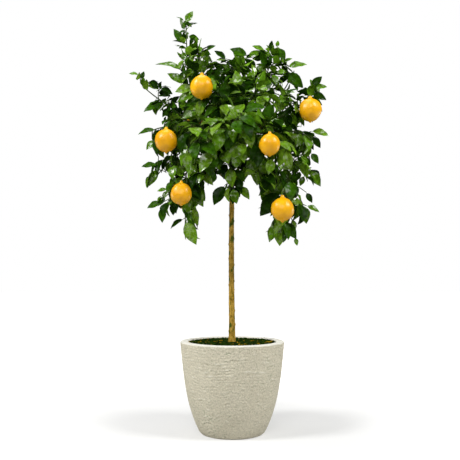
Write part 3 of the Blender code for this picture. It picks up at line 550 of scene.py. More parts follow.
masses = {
    # what bears it, its far end, its girth, the length of its leaves, and its seed
    "foliage_left_spire": ("bough_left_spire", (-0.143, -0.010, 1.240), 0.048, 0.044, 5816),
    "foliage_left_arm": ("bough_left_arm", (-0.285, 0.010, 1.058), 0.052, 0.048, 6240),
    "foliage_left_top": ("bough_left_top", (-0.105, -0.040, 1.155), 0.080, 0.050, 3589),
    "foliage_left_side": ("bough_left_side", (-0.245, -0.060, 0.888), 0.086, 0.062, 9483),
    "foliage_left_low": ("bough_left_low", (-0.232, -0.030, 0.752), 0.062, 0.066, 2105),
    "foliage_left_drooping": ("bough_left_drooping", (-0.137, -0.090, 0.598), 0.080, 0.074, 1190),
    "foliage_top_middle": ("trunk", (0.002, 0.000, 1.120), 0.100, 0.050, 4537),
    "foliage_front_middle": ("bough_front_middle", (0.008, -0.195, 0.889), 0.115, 0.066, 3609),
    "foliage_front_left": ("bough_front_left", (-0.100, -0.185, 0.832), 0.105, 0.068, 723),
    "foliage_front_low": ("bough_front_low", (-0.001, -0.100, 0.712), 0.053, 0.062, 9704),
    "foliage_left_under": ("bough_left_under", (-0.072, -0.115, 0.735), 0.068, 0.068, 9559),
    "foliage_right_under": ("bough_right_under", (0.082, -0.115, 0.732), 0.072, 0.068, 4381),
    "foliage_front_right": ("bough_front_right", (0.120, -0.170, 0.845), 0.105, 0.068, 6797),
    "foliage_right_top": ("bough_right_top", (0.124, 0.000, 1.145), 0.081, 0.050, 1769),
    "foliage_right_shoulder": ("bough_right_shoulder", (0.192, 0.010, 1.095), 0.078, 0.052, 8549),
    "foliage_right_arm": ("bough_right_arm", (0.250, -0.020, 1.018), 0.078, 0.054, 9173),
    "foliage_right_side": ("bough_right_side", (0.242, -0.030, 0.872), 0.068, 0.064, 8726),
    "foliage_right_low": ("bough_right_low", (0.232, 0.000, 0.755), 0.084, 0.068, 4976),
    "foliage_right_drooping": ("bough_right_drooping", (0.150, -0.080, 0.598), 0.076, 0.074, 8319),
    "foliage_left_high": ("bough_left_high", (-0.045, -0.130, 1.005), 0.092, 0.054, 2007),
    "foliage_right_high": ("bough_right_high", (0.072, -0.130, 1.000), 0.100, 0.054, 3358),
    "foliage_back_middle": ("bough_back_middle", (-0.001, 0.200, 0.975), 0.115, 0.064, 6384),
    "foliage_back_left": ("bough_back_left", (-0.180, 0.160, 0.975), 0.110, 0.064, 9496),
    "foliage_back_right": ("bough_back_right", (0.180, 0.160, 0.965), 0.101, 0.064, 6590),
    "foliage_back_left_low": ("bough_back_left_low", (-0.138, 0.140, 0.700), 0.088, 0.068, 2072),
    "foliage_back_right_low": ("bough_back_right_low", (0.136, 0.140, 0.700), 0.074, 0.068, 2554),
    "foliage_back_top": ("bough_back_top", (0.010, 0.110, 1.105), 0.087, 0.054, 5213),
}

front = (0.0, -1.93, 0.463)  # where the photograph was taken from
lemons = {
    "radius": 0.0330,
    "length": 0.0820,
    "around": 44,
    "rings": 36,
    "lumps": 0.0013,
    # width of each end as a share of the widest, and its reach as a share of half the length
    "knob": (0.21, 1.05),
    "nipple": (0.20, 0.93),
    "bodyReach": 0.83,
    "rindColours": ((0.61, 0.278, 0.0003), (0.72, 0.362, 0.0006)),
    "calyxColours": ((0.05, 0.09, 0.02), (0.12, 0.16, 0.04)),
    "calyxLobes": 5,
    "calyxReach": (0.0034, 0.0052),
    "stalkRadius": 0.0019,
    "windowDepth": 0.35,
    "windowMargin": 0.001,
    # the mass that bears each one, its middle, a place from which nothing hides it, and its size
    "hung": (
        ("foliage_left_top", (-0.087, -0.150, 0.996), front, 0.98),
        ("foliage_left_side", (-0.190, -0.120, 0.848), front, 0.97),
        ("foliage_left_drooping", (-0.144, -0.140, 0.692), front, 0.91),
        ("foliage_front_right", (0.102, -0.200, 0.820), front, 0.88),
        ("foliage_right_arm", (0.229, -0.080, 0.948), front, 1.00),
        ("foliage_right_drooping", (0.141, -0.140, 0.648), front, 0.98),
        ("foliage_back_left", (-0.125, 0.185, 0.985), (-0.6, 1.9, 0.9), 0.92),
        ("foliage_back_middle", (-0.035, 0.225, 0.880), (-0.2, 1.9, 0.6), 0.96),
        ("foliage_back_right", (0.121, 0.200, 0.895), (0.6, 1.9, 0.6), 0.90),
        ("foliage_back_left_low", (-0.160, 0.185, 0.715), (-0.6, 1.9, 0.5), 0.95),
        ("foliage_back_right_low", (0.165, 0.175, 0.675), (0.6, 1.9, 0.5), 0.92),
    ),
}

# The shoots that give each mass its outline in front: x and z of the foot and of the end of a shoot's last
# leaf, at the stem's depth, and how far that leaf turns its face to the side, 0 to 1.
shoots = {
    "foliage_left_spire": (
        ((-0.144, 1.239), (-0.121, 1.276), 0.74), ((-0.149, 1.244), (-0.173, 1.259), 0.45),
        ((-0.140, 1.228), (-0.106, 1.240), 0.48), ((-0.153, 1.177), (-0.181, 1.220), 0.9),
        ((-0.156, 1.163), (-0.178, 1.169), 0.41), ((-0.157, 1.128), (-0.170, 1.151), 0.48),
        ((-0.136, 1.199), (-0.101, 1.186), 0.94), ((-0.081, 1.152), (-0.050, 1.168), 0.45),
        ((-0.096, 1.143), (-0.061, 1.118), 0.94), ((-0.122, 1.171), (-0.096, 1.142), 0.87),
        ((-0.152, 1.092), (-0.238, 1.117), 0.51), ((-0.144, 1.050), (-0.201, 1.080), 0.74),
        ((-0.149, 1.242), (-0.124, 1.226), 0.68),
    ),
    "foliage_left_arm": (
        ((-0.289, 1.082), (-0.320, 1.084), 0.54), ((-0.282, 1.067), (-0.273, 1.094), 0.74),
        ((-0.254, 1.061), (-0.227, 1.038), 0.87), ((-0.220, 1.041), (-0.183, 1.019), 0.94),
        ((-0.207, 0.993), (-0.273, 0.964), 0.51), ((-0.215, 1.000), (-0.250, 0.986), 0.48),
        ((-0.191, 0.977), (-0.214, 0.946), 0.68),
    ),
    "foliage_left_top": (
        ((-0.097, 0.969), (-0.151, 0.932), 0.94), ((-0.088, 0.981), (-0.130, 0.957), 0.87),
        ((-0.116, 1.027), (-0.173, 1.015), 0.74), ((-0.109, 1.015), (-0.164, 0.981), 0.87),
        ((-0.100, 0.994), (-0.145, 0.969), 0.87), ((-0.107, 1.079), (-0.146, 1.063), 0.94),
        ((-0.107, 1.152), (-0.128, 1.115), 0.8),
    ),
    "foliage_left_side": (
        ((-0.227, 0.894), (-0.280, 0.878), 0.58), ((-0.229, 0.863), (-0.254, 0.833), 0.74),
        ((-0.221, 0.788), (-0.269, 0.782), 0.51),
    ),
    "foliage_left_low": (
        ((-0.225, 0.782), (-0.248, 0.729), 0.9),
    ),
    "foliage_left_drooping": (
        ((-0.177, 0.736), (-0.195, 0.716), 0.61), ((-0.188, 0.709), (-0.203, 0.685), 0.74),
        ((-0.181, 0.730), (-0.191, 0.699), 0.87), ((-0.195, 0.693), (-0.217, 0.663), 0.84),
        ((-0.166, 0.752), (-0.183, 0.725), 0.8), ((-0.205, 0.694), (-0.218, 0.673), 0.8),
        ((-0.191, 0.715), (-0.220, 0.706), 0.68), ((-0.203, 0.675), (-0.247, 0.655), 0.54),
        ((-0.202, 0.663), (-0.203, 0.614), 0.9), ((-0.171, 0.675), (-0.172, 0.636), 0.68),
        ((-0.141, 0.626), (-0.178, 0.595), 0.48), ((-0.135, 0.621), (-0.104, 0.550), 0.94),
        ((-0.139, 0.664), (-0.100, 0.611), 0.94), ((-0.121, 0.727), (-0.084, 0.661), 0.87),
    ),
    "foliage_left_under": (
        ((-0.090, 0.759), (-0.055, 0.721), 0.87), ((-0.109, 0.798), (-0.087, 0.754), 0.87),
    ),
    "foliage_front_low": (
        ((-0.021, 0.724), (-0.053, 0.664), 0.61), ((0.019, 0.722), (0.049, 0.681), 0.54),
        ((-0.010, 0.712), (-0.012, 0.676), 0.87), ((0.008, 0.720), (0.022, 0.687), 0.74),
        ((0.026, 0.831), (-0.007, 0.770), 0.97), ((0.044, 0.813), (0.038, 0.746), 0.94),
    ),
    "foliage_right_under": (
        ((0.101, 0.750), (0.083, 0.694), 0.87), ((0.069, 0.775), (0.072, 0.721), 0.87),
    ),
    "foliage_right_drooping": (
        ((0.169, 0.686), (0.207, 0.665), 0.68), ((0.140, 0.707), (0.081, 0.635), 0.94),
        ((0.128, 0.616), (0.107, 0.558), 0.94), ((0.139, 0.613), (0.137, 0.547), 0.87),
        ((0.154, 0.620), (0.186, 0.567), 0.94), ((0.182, 0.572), (0.188, 0.548), 0.48),
        ((0.209, 0.668), (0.216, 0.612), 0.94), ((0.216, 0.666), (0.255, 0.646), 0.48),
        ((0.217, 0.706), (0.234, 0.674), 0.74),
    ),
    "foliage_right_low": (
        ((0.207, 0.780), (0.197, 0.749), 0.61), ((0.219, 0.765), (0.206, 0.734), 0.74),
        ((0.239, 0.783), (0.269, 0.732), 0.94), ((0.241, 0.837), (0.264, 0.803), 0.74),
    ),
    "foliage_right_side": (
        ((0.238, 0.897), (0.292, 0.883), 0.51), ((0.242, 0.881), (0.266, 0.845), 0.8),
    ),
    "foliage_right_arm": (
        ((0.244, 1.030), (0.290, 1.037), 0.51), ((0.240, 1.033), (0.274, 1.067), 0.68),
        ((0.240, 1.014), (0.286, 0.993), 0.61),
    ),
    "foliage_right_shoulder": (
        ((0.170, 1.107), (0.233, 1.112), 0.54), ((0.160, 1.121), (0.187, 1.132), 0.48),
        ((0.167, 1.090), (0.221, 1.042), 0.9), ((0.162, 1.007), (0.177, 1.037), 0.94),
        ((0.148, 0.988), (0.182, 1.004), 0.8),
    ),
    "foliage_right_top": (
        ((0.095, 1.154), (0.042, 1.126), 0.68), ((0.092, 1.113), (0.076, 1.075), 0.87),
        ((0.117, 1.157), (0.123, 1.187), 0.87), ((0.138, 1.165), (0.142, 1.187), 0.54),
        ((0.141, 1.165), (0.163, 1.123), 0.68), ((0.101, 1.151), (0.061, 1.171), 0.54),
        ((0.124, 1.146), (0.074, 1.132), 0.8),
    ),
    "foliage_front_middle": (
        ((0.004, 0.882), (-0.017, 0.809), 0.97), ((0.035, 0.912), (0.049, 0.859), 0.87),
        ((0.042, 0.872), (0.053, 0.815), 0.94), ((-0.029, 0.891), (-0.066, 0.882), 0.68),
    ),
    "foliage_front_left": (
        ((-0.111, 0.830), (-0.097, 0.780), 0.97), ((-0.058, 0.809), (-0.090, 0.745), 0.94),
    ),
    "foliage_front_right": (
        ((0.111, 0.789), (0.100, 0.742), 0.87), ((0.052, 0.807), (0.101, 0.740), 0.94),
        ((0.150, 0.811), (0.161, 0.755), 0.94),
    ),
    "foliage_top_middle": (
        ((0.049, 1.138), (-0.008, 1.160), 0.87), ((0.042, 1.110), (0.002, 1.149), 0.94),
        ((-0.019, 1.126), (-0.057, 1.153), 0.54), ((-0.004, 1.088), (-0.038, 1.113), 0.61),
    ),
}

# Gaps in the crown through which sky shows from the front: x and z on the trunk's plane, and radius.
skyGaps = (
    (-0.086, 0.607, 0.0165), (-0.039, 0.705, 0.0075), (-0.209, 0.756, 0.018), (-0.284, 1.006, 0.0285),
    (-0.164, 0.602, 0.015), (0.218, 1.077, 0.018), (0.053, 0.742, 0.015), (-0.311, 1.046, 0.0225),
    (0.072, 0.687, 0.018), (-0.092, 0.670, 0.015), (-0.069, 0.716, 0.012), (0.258, 0.920, 0.0115),
    (-0.252, 1.008, 0.015), (0.069, 0.713, 0.015), (-0.275, 0.877, 0.015), (-0.117, 1.220, 0.012),
    (-0.024, 1.157, 0.012), (-0.223, 1.073, 0.015), (-0.249, 0.819, 0.018), (-0.034, 0.690, 0.012),
    (0.208, 0.761, 0.009), (0.234, 0.914, 0.009), (0.232, 0.739, 0.009), (-0.158, 0.649, 0.009),
    (0.175, 1.184, 0.0285), (0.091, 1.181, 0.015), (-0.086, 1.174, 0.012), (0.034, 0.693, 0.012),
    (-0.219, 0.741, 0.012), (0.194, 1.090, 0.012), (0.103, 0.631, 0.015), (-0.231, 0.935, 0.015),
    (-0.248, 1.083, 0.018), (-0.009, 1.142, 0.0075), (-0.142, 1.174, 0.0075), (-0.048, 1.134, 0.0075),
    (0.246, 0.724, 0.009), (-0.182, 1.137, 0.015), (0.286, 1.024, 0.012), (-0.156, 0.620, 0.0075),
    (-0.173, 1.089, 0.009), (0.165, 1.045, 0.0075), (0.210, 0.702, 0.0075), (0.210, 0.599, 0.015),
    (-0.078, 0.729, 0.0075), (0.248, 0.803, 0.0075), (-0.040, 0.760, 0.0075), (-0.184, 0.632, 0.009),
    (-0.170, 1.238, 0.012), (-0.203, 0.703, 0.0075), (-0.057, 0.730, 0.0075), (0.181, 1.094, 0.0075),
    (-0.173, 1.046, 0.012),
)

growth = {
    "turnSpread": 0.25,
    "boughSteps": 10,
    "boughRise": 0.75,
    "stemLead": 0.008,
    "stemTurn": 0.45,
    "stemSteps": 10,
    "stemRadius": (0.0026, 0.0014),
    "stemBare": 0.20,
    "twigSpacing": 0.019,
    "twigAngle": 52.0,
    "twigRadius": (0.0017, 0.0011),
    "twigSteps": 4,
    "twigTries": (1.0, 0.75, 0.5),
    "twigRise": 0.25,
    "twigDroop": 0.6,
    "twigGap": 0.008,
    "woodSearch": 0.042,
    "shootSpan": (0.05, 0.97, 24),  # the shares of a stem between which its shoots spring
    "twigBare": 0.28,
    "twigSpan": (0.08, 0.84),  # the first and the last twig, as shares of the stem
    "twigReach": (0.72, 0.42),  # of these two, as shares of the mass's girth
    "twigletReach": 0.55,
    "twigletRadius": (0.0012, 0.0009),
    "leafSpacing": 0.150,
    "leafAngle": 55.0,
    "leafSway": 0.4,
    "leafSizes": (1.0, 1.0, 0.95, 0.88, 0.88, 0.8, 0.8, 0.72, 0.72),
    "leafSpread": (0.55, 1.12, 0.98),  # the least, the greatest and the usual size
    "leafGap": 0.0078,
    "sprayTint": 0.75,  # how many of a spray's leaves have its tint
    # places over a leaf's blade, as shares of its length, to test it by
    "bladeSamples": ((0.15, 0.13), (0.30, 0.23), (0.45, 0.26), (0.60, 0.23), (0.75, 0.16), (0.88, 0.08),
                     (1.0, 0.0)),
    "endReach": 0.045,
    "woodMargin": 0.0010,
    "crownTop": 1.25,
    "crownLow": 0.70,
    "droopAtTop": 0.05,
    "droopAtLow": 1.15,
    "cell": 0.09,
}

up = Vector((0.0, 0.0, 1.0))
goldenAngle = math.radians(137.5)


def nextTurn(rng):  # round a stem, from one leaf or twig to the next
    return goldenAngle + rng.uniform(-growth["turnSpread"], growth["turnSpread"])


def smoothPath(start, leaving, end, arriving, steps):
    points = []
    for step in range(steps + 1):
        t = step / steps
        points.append(start * (2 * t**3 - 3 * t**2 + 1) + leaving * (t**3 - 2 * t**2 + t)
                      + end * (-2 * t**3 + 3 * t**2) + arriving * (t**3 - t**2))
    return points


def pathLength(path):
    return sum((after - before).length for before, after in zip(path, path[1:]))


def atShare(path, share):  # the place and the direction there
    left = share * pathLength(path)
    for before, after in zip(path, path[1:]):
        length = (after - before).length
        if left <= length:
            return before.lerp(after, left / length), (after - before).normalized()
        left -= length
    return path[-1].copy(), (path[-1] - path[-2]).normalized()


def aside(direction, angle):  # a unit vector square to a direction, turned round it
    across = direction.cross(up)
    if across.length < 0.05:
        across = direction.cross(Vector((0.0, 1.0, 0.0)))
    across.normalize()
    return across * math.cos(angle) + direction.cross(across) * math.sin(angle)


def tapered(first, last, count):
    return [first + (last - first) * index / (count - 1) for index in range(count)]


def spheresAlong(path, radii, pitch=0.005):  # spheres that stand for a limb in tests
    found = []
    for index, (before, after) in enumerate(zip(path, path[1:])):
        count = max(1, round((after - before).length / pitch))
        for step in range(count):
            share = step / count
            radius = radii[index] + (radii[index + 1] - radii[index]) * share
            found.append((before.lerp(after, share), radius))
    found.append((path[-1], radii[-1]))
    return found


def trunkLine():
    path = [Vector((wander, 0.0, height)) for height, wander, _ in trunk["rings"]]
    return path, [radius for _, _, radius in trunk["rings"]]


def trunkPoint(height):
    path, _ = trunkLine()
    for low, high in zip(path, path[1:]):
        if low.z <= height <= high.z:
            return low.lerp(high, (height - low.z) / (high.z - low.z))
    return path[-1].copy()


def planLimbs():
    limbs = {"trunk": trunkLine()}
    farEnds = {carrier: Vector(tip) for carrier, tip, _, _, _ in masses.values()}
    for name, (parent, place, tip, footRadius, tipRadius) in boughs.items():
        tip = Vector(tip)
        if parent == "trunk":
            start = trunkPoint(place)
            outward = Vector((tip.x - start.x, tip.y - start.y, 0.0)).normalized()
            leaving = (outward + up * growth["boughRise"]).normalized()
        else:
            start, along = atShare(limbs[parent][0], place)
            leaving = (along * 0.6 + (tip - start).normalized()).normalized()
        span = (tip - start).length
        onward = (farEnds[name] - tip).normalized()
        arriving = ((tip - start).normalized() + onward * 0.6).normalized()
        path = smoothPath(start, leaving * span, tip, arriving * span * 0.8, growth["boughSteps"])
        limbs[name] = (path, tapered(footRadius, tipRadius, len(path)))
    return limbs


def planStem(name, limbs):  # from its bough's end through its mass
    carrier, tip, _, _, _ = masses[name]
    bough = limbs[carrier][0]
    heading = (bough[-1] - bough[-2]).normalized()
    foot, tip = bough[-1], Vector(tip)
    start = foot + heading * growth["stemLead"]
    span = (tip - start).length
    turn = growth["stemTurn"] if tip.z > start.z else -growth["stemTurn"]
    arriving = (tip - start).normalized() + up * turn
    return [foot] + smoothPath(start, heading * span * 0.6, tip, arriving * span * 0.7, growth["stemSteps"])


def planStalks(stems):  # each lemon's, from the nearest part of its mass's stem
    stalks = []
    for name, middle, _, size in lemons["hung"]:
        top = Vector(middle) + up * (lemons["length"] * size * 0.47)
        shares = tapered(0.10, 0.90, 11)
        nearest = min(shares, key=lambda share: (atShare(stems[name], share)[0] - top).length)
        start, along = atShare(stems[name], nearest)
        span = (top - start).length
        leaving = (along + (top - start).normalized() + up * 0.5) * (span * 0.5)
        stalks.append(smoothPath(start, leaving, top, up * (-span * 0.9), 8))
    return stalks


def shareOfSpace(point, space):  # 1 at the edge of a mass's space
    start, end, girth = space
    line = end - start
    along = (point - start).dot(line) / line.length_squared
    gap = (point - start - line * max(0.0, min(1.0, along))).length
    if along > 1.0:
        past = (along - 1.0) * line.length
        gap = math.sqrt(gap * gap - past * past + (past * girth / growth["endReach"]) ** 2)
    return gap / girth


def inWindow(point):  # whether a point would hide a lemon that shows in the open
    for _, middle, eye, size in lemons["hung"]:
        middle = Vector(middle)
        sight = (Vector(eye) - middle).normalized()
        away = point - middle
        along = away.dot(sight)
        reach = lemons["radius"] * size + lemons["windowMargin"]
        if 0.0 < along < lemons["windowDepth"] and (away - sight * along).length < reach:
            return True
    return False


def seenAt(point):  # x and z on the trunk's plane of a point as it is seen from the front
    share = front[1] / (front[1] - point.y)
    return front[0] + (point.x - front[0]) * share, front[2] + (point.z - front[2]) * share


def closesGap(points, middle, reach):  # whether any of these points would hide the sky in a gap
    x, z = seenAt(middle)
    for gapX, gapZ, radius in skyGaps:
        if math.hypot(x - gapX, z - gapZ) < radius + reach:
            for point in points:
                pointX, pointZ = seenAt(point)
                if math.hypot(pointX - gapX, pointZ - gapZ) < radius:
                    return True
    return False


def droopAt(height):
    share = (growth["crownTop"] - height) / (growth["crownTop"] - growth["crownLow"])
    share = max(0.0, min(1.0, share))
    return growth["droopAtTop"] + (growth["droopAtLow"] - growth["droopAtTop"]) * share


# A point on a leaf's arch, at a share of its length and as far to the side as another share of it.
def leafPoint(leaf, share, side=0.0):
    turn = leaf["bend"] * share
    forward = math.sin(turn) / leaf["bend"] * leaf["length"]
    fall = (1.0 - math.cos(turn)) / leaf["bend"] * leaf["length"]
    across = leaf["along"].cross(leaf["normal"])
    return leaf["root"] + leaf["along"] * forward - leaf["normal"] * fall + across * (side * leaf["length"])


def leafStrip(leaf):  # a coarse leaf to test with
    points = [leafPoint(leaf, 0.06)]
    for share, wide in ((0.36, 0.27), (0.70, 0.21)):
        points += [leafPoint(leaf, share, -wide), leafPoint(leaf, share), leafPoint(leaf, share, wide)]
    points.append(leafPoint(leaf, 1.0))
    faces = [(0, 2, 1), (0, 3, 2), (1, 2, 5, 4), (2, 3, 6, 5), (4, 5, 7), (5, 6, 7)]
    return points, BVHTree.FromPolygons(points, faces)


def nearCells(point):
    cell = [math.floor(value / growth["cell"]) for value in point]
    for x in (-1, 0, 1):
        for y in (-1, 0, 1):
            for z in (-1, 0, 1):
                yield (cell[0] + x, cell[1] + y, cell[2] + z)


def touchesWood(strip, middle, reach, spheres):
    for point, radius in spheres:
        near = radius + growth["woodMargin"]
        if (point - middle).length < reach + near and strip.find_nearest(point, near)[0]:
            return True
    return False


def leafFits(leaf, plan, space, wood, bearer):
    points, strip = leafStrip(leaf)
    for point in points[1:]:
        if shareOfSpace(point, space) > 1.0 or inWindow(point):
            return None
    middle, reach = leafPoint(leaf, 0.5), leaf["length"] * 0.56
    blade = [leafPoint(leaf, share, wide * side) for share, wide in growth["bladeSamples"]
             for side in (-1.0, -0.5, 0.0, 0.5, 1.0)]
    if closesGap(blade, middle, reach * 1.15):
        return None
    spine = (points[2], points[5], points[7])
    for cell in nearCells(middle):
        for otherSpine, otherStrip in plan["grid"].get(cell, ()):
            if any((a - b).length < growth["leafGap"] for a in spine for b in otherSpine):
                return None
            if strip.overlap(otherStrip):
                return None
    near = plan["woodTree"].find_range(middle, reach + lemons["radius"] + growth["woodMargin"])
    if touchesWood(strip, middle, reach, [plan["wood"][index] for _, index, _ in near]):
        return None
    for key, spheres in wood.items():
        if key != bearer and touchesWood(strip, middle, reach, spheres):
            return None
    return spine, strip


# Sets a leaf, turned and made smaller until it fits, or none.
def tryLeaf(root, direction, turn, angle, length, tint, plan, space, wood, bearer, rng):
    droop = droopAt(root.z) * rng.uniform(0.6, 1.3)
    bend = 0.15 + 0.55 * droopAt(root.z) * rng.uniform(0.4, 1.5) + rng.uniform(0.0, 0.35)
    sway = Vector((rng.uniform(-1, 1), rng.uniform(-1, 1), rng.uniform(-1, 1))) * growth["leafSway"]
    outward = Vector((root.x, root.y, 0.0)).normalized()
    for attempt, shorter in enumerate(growth["leafSizes"]):
        radial = aside(direction, turn + attempt * goldenAngle)
        along = (direction * math.cos(angle) + radial * math.sin(angle) - up * droop * 0.8).normalized()
        wanted = up * 0.5 + outward * 0.5 + radial * 0.4 + sway
        normal = (wanted - along * wanted.dot(along)).normalized()
        leaf = {"root": root, "along": along, "normal": normal, "length": length * shorter,
                "bend": bend, "tint": tint, "pick": rng.random()}
        fit = leafFits(leaf, plan, space, wood, bearer)
        if fit:
            cell = tuple(math.floor(value / growth["cell"]) for value in leafPoint(leaf, 0.5))
            plan["grid"].setdefault(cell, []).append(fit)
            plan["leaves"].append(leaf)
            return


def twigFits(path, radius, plan, space, wood):
    if closesGap(path, path[len(path) // 2], pathLength(path) / 2):
        return False
    for point, _ in spheresAlong(path, [radius] * len(path))[2:]:
        if shareOfSpace(point, space) > 1.0 or inWindow(point):
            return False
        for _, index, gap in plan["woodTree"].find_range(point, growth["woodSearch"]):
            if gap < plan["wood"][index][1] + radius + growth["woodMargin"]:
                return False
        for key, spheres in wood.items():
            if key != "stem" and any((point - other).length < growth["twigGap"] for other, _ in spheres):
                return False
    return True


# Draws a twig, made shorter until it fits, or none.
def tryTwig(bearer, share, turn, reach, radii, plan, space, wood, rng):
    root, direction = atShare(bearer, share)
    angle = math.radians(growth["twigAngle"]) + rng.uniform(-0.2, 0.2)
    leaving = direction * math.cos(angle) + aside(direction, turn) * math.sin(angle)
    bend = up * (growth["twigRise"] - growth["twigDroop"] * droopAt(root.z))
    for shorter in growth["twigTries"]:
        length = reach * shorter
        end = root + (leaving + bend / 2) * length
        path = smoothPath(root, leaving * length, end, (leaving + bend) * length, growth["twigSteps"])
        if twigFits(path, radii[0], plan, space, wood):
            plan["twigs"].append((path, tapered(*radii, len(path))))
            key = f"twig{len(plan['twigs'])}"
            wood[key] = spheresAlong(path, [radii[0]] * len(path))
            return path, key
    return None


def leafOut(path, bare, length, tint, key, plan, space, wood, rng):
    turn = rng.uniform(0.0, 2 * math.pi)
    count = max(1, round(pathLength(path) * (1 - bare) / (growth["leafSpacing"] * length)))
    for index in range(count + 1):
        share = 1.0 - (1.0 - bare) * index / count
        root, direction = atShare(path, min(share, 0.985))
        turn += nextTurn(rng)
        angle = 0.25 if index == 0 else math.radians(growth["leafAngle"]) + rng.uniform(-0.25, 0.2)
        size = length * rng.triangular(*growth["leafSpread"])
        tone = tint if rng.random() < growth["sprayTint"] else rng.randrange(len(leafTints))
        tryLeaf(root, direction, turn, angle, size, tone, plan, space, wood, key, rng)


def growMass(name, plan, limbs, stem):
    carrier, tip, girth, leafLength, seed = masses[name]
    rng = random.Random(seed)
    space = (limbs[carrier][0][-1], Vector(tip), girth)
    plan["twigs"].append((stem, tapered(*growth["stemRadius"], len(stem))))
    wood = {"stem": spheresAlong(stem, [growth["stemRadius"][0]] * len(stem))}
    turn = rng.uniform(0.0, 2 * math.pi)
    count = max(2, round(pathLength(stem) / growth["twigSpacing"]))
    spots = zip(tapered(*growth["twigSpan"], count), tapered(*growth["twigReach"], count))
    grown = [(stem, "stem", growth["stemBare"], pickTint(rng, name))]
    for path in plan["shoots"].get(name, ()):
        key = f"shoot{len(wood)}"
        wood[key] = spheresAlong(path, [growth["twigRadius"][0]] * len(path))
        if pathLength(path) > growth["leafSpacing"] * leafLength * 1.5:
            grown.append((path, key, growth["twigBare"], pickTint(rng, name)))
    for share, reach in spots:
        turn += nextTurn(rng)
        length = girth * reach * rng.uniform(0.85, 1.1)
        made = tryTwig(stem, share, turn, length, growth["twigRadius"], plan, space, wood, rng)
        if made:
            grown.append((*made, growth["twigBare"], pickTint(rng, name)))
            length *= growth["twigletReach"]
            side = tryTwig(made[0], 0.5, rng.uniform(0, 6.28), length, growth["twigletRadius"],
                           plan, space, {"stem": wood["stem"]}, rng)
            if side:
                wood[side[1]] = spheresAlong(side[0], [growth["twigletRadius"][0]] * len(side[0]))
                grown.append((*side, growth["twigBare"], pickTint(rng, name)))
    for path, key, bare, tint in grown:
        leafOut(path, bare, leafLength, tint, key, plan, space, wood, rng)


def growShoots(name, plan, stem):
    rng = random.Random(masses[name][-1])
    for foot, end, openness in shoots.get(name, ()):
        shares = tapered(*growth["shootSpan"])
        nearest = min(shares, key=lambda share: footCost(stem, share, foot))
        root, direction = atShare(stem, nearest)
        foot, end = Vector((foot[0], root.y, foot[1])), Vector((end[0], root.y, end[1]))
        span = max(0.004, (foot - root).length)
        away, along = (foot - root).normalized(), (end - foot).normalized()
        path = smoothPath(root, (direction + away) * (span * 0.5), foot, (away + along) * (span * 0.6),
                          growth["twigSteps"])
        plan["twigs"].append((path, tapered(*growth["twigRadius"], len(path))))
        plan["shoots"].setdefault(name, []).append(path)
        outward = Vector((0.0, -1.0, 0.0))
        wanted = up * (1.0 - openness) + outward * openness + along.cross(outward) * 0.1
        normal = (wanted - along * wanted.dot(along)).normalized()
        bend = 0.20 + 0.35 * (1.0 - openness) + rng.uniform(0.0, 0.3)
        along = along * math.cos(bend / 2) + normal * math.sin(bend / 2)
        normal = (normal - along * normal.dot(along)).normalized()
        length = (end - foot).length * (1 + bend**2 / 24)
        leaf = {"root": foot, "along": along, "normal": normal, "length": length,
                "bend": bend, "tint": pickTint(rng, name), "pick": rng.random()}
        points, strip = leafStrip(leaf)
        cell = tuple(math.floor(value / growth["cell"]) for value in leafPoint(leaf, 0.5))
        plan["grid"].setdefault(cell, []).append(((points[2], points[5], points[7]), strip))
        plan["leaves"].append(leaf)


def footCost(stem, share, foot):  # a shoot springs from near its end, and forwards
    place, direction = atShare(stem, share)
    away = Vector((foot[0], place.y, foot[1])) - place
    return away.length * (1.35 - 0.6 * direction.dot(away.normalized()))


# paler tints come more often in masses given painted light, and darker ones in masses given painted shade
def pickTint(rng, name):  # a spray's tint, paler ones more often in a pale mass
    pale = paintedLightByMass.get(name, 0.0)
    weights = [tint["share"] * math.exp(tint["whenPale"] * pale) for tint in leafTints.values()]
    return rng.choices(range(len(leafTints)), weights)[0]


def planTree():
    limbs = planLimbs()
    stems = {name: planStem(name, limbs) for name in masses}
    stalks = planStalks(stems)
    wood = []
    for path, radii in limbs.values():
        wood += spheresAlong(path, radii)
    for (_, middle, _, size), stalk in zip(lemons["hung"], stalks):
        middle = Vector(middle)
        for place, share in ((0.0, 1.0), (0.22, 0.74), (-0.22, 0.74), (0.46, 0.2), (-0.46, 0.2)):
            wood.append((middle + up * (lemons["length"] * size * place), lemons["radius"] * size * share))
        wood += spheresAlong(stalk, [lemons["stalkRadius"]] * len(stalk))
    tree = KDTree(len(wood))
    for index, (point, _) in enumerate(wood):
        tree.insert(point, index)
    tree.balance()
    plan = {"limbs": limbs, "wood": wood, "woodTree": tree,
            "grid": {}, "leaves": [], "twigs": [], "shoots": {}}
    for name in masses:
        growShoots(name, plan, stems[name])
    for name in masses:
        growMass(name, plan, limbs, stems[name])
    for stalk in stalks:
        plan["twigs"].append((stalk, tapered(0.0016, lemons["stalkRadius"], len(stalk))))
    return plan


# Leaves. Each tint is one piece. The darker tints stand partly for painted shade inside the crown and the
# paler ones partly for painted light on it. A tint has its share of the sprays, and more of them in pale
# masses where its whenPale is above 0.

leafTints = {
    "leaves_deep": {"colour": (0.0072, 0.026, 0.0005), "gloss": 0.08, "share": 2.4, "whenPale": -0.6},
    "leaves_dark": {"colour": (0.0195, 0.062, 0.0012), "gloss": 0.14, "share": 2.3, "whenPale": -0.8},
    "leaves_mid": {"colour": (0.057, 0.133, 0.0042), "gloss": 1.0, "share": 3.3, "whenPale": -0.3},
    "leaves_bright": {"colour": (0.085, 0.175, 0.0080), "gloss": 1.0, "share": 2.0, "whenPale": 0.9},
    "leaves_young": {"colour": (0.102, 0.194, 0.0115), "gloss": 1.0, "share": 0.55, "whenPale": 1.3},
}
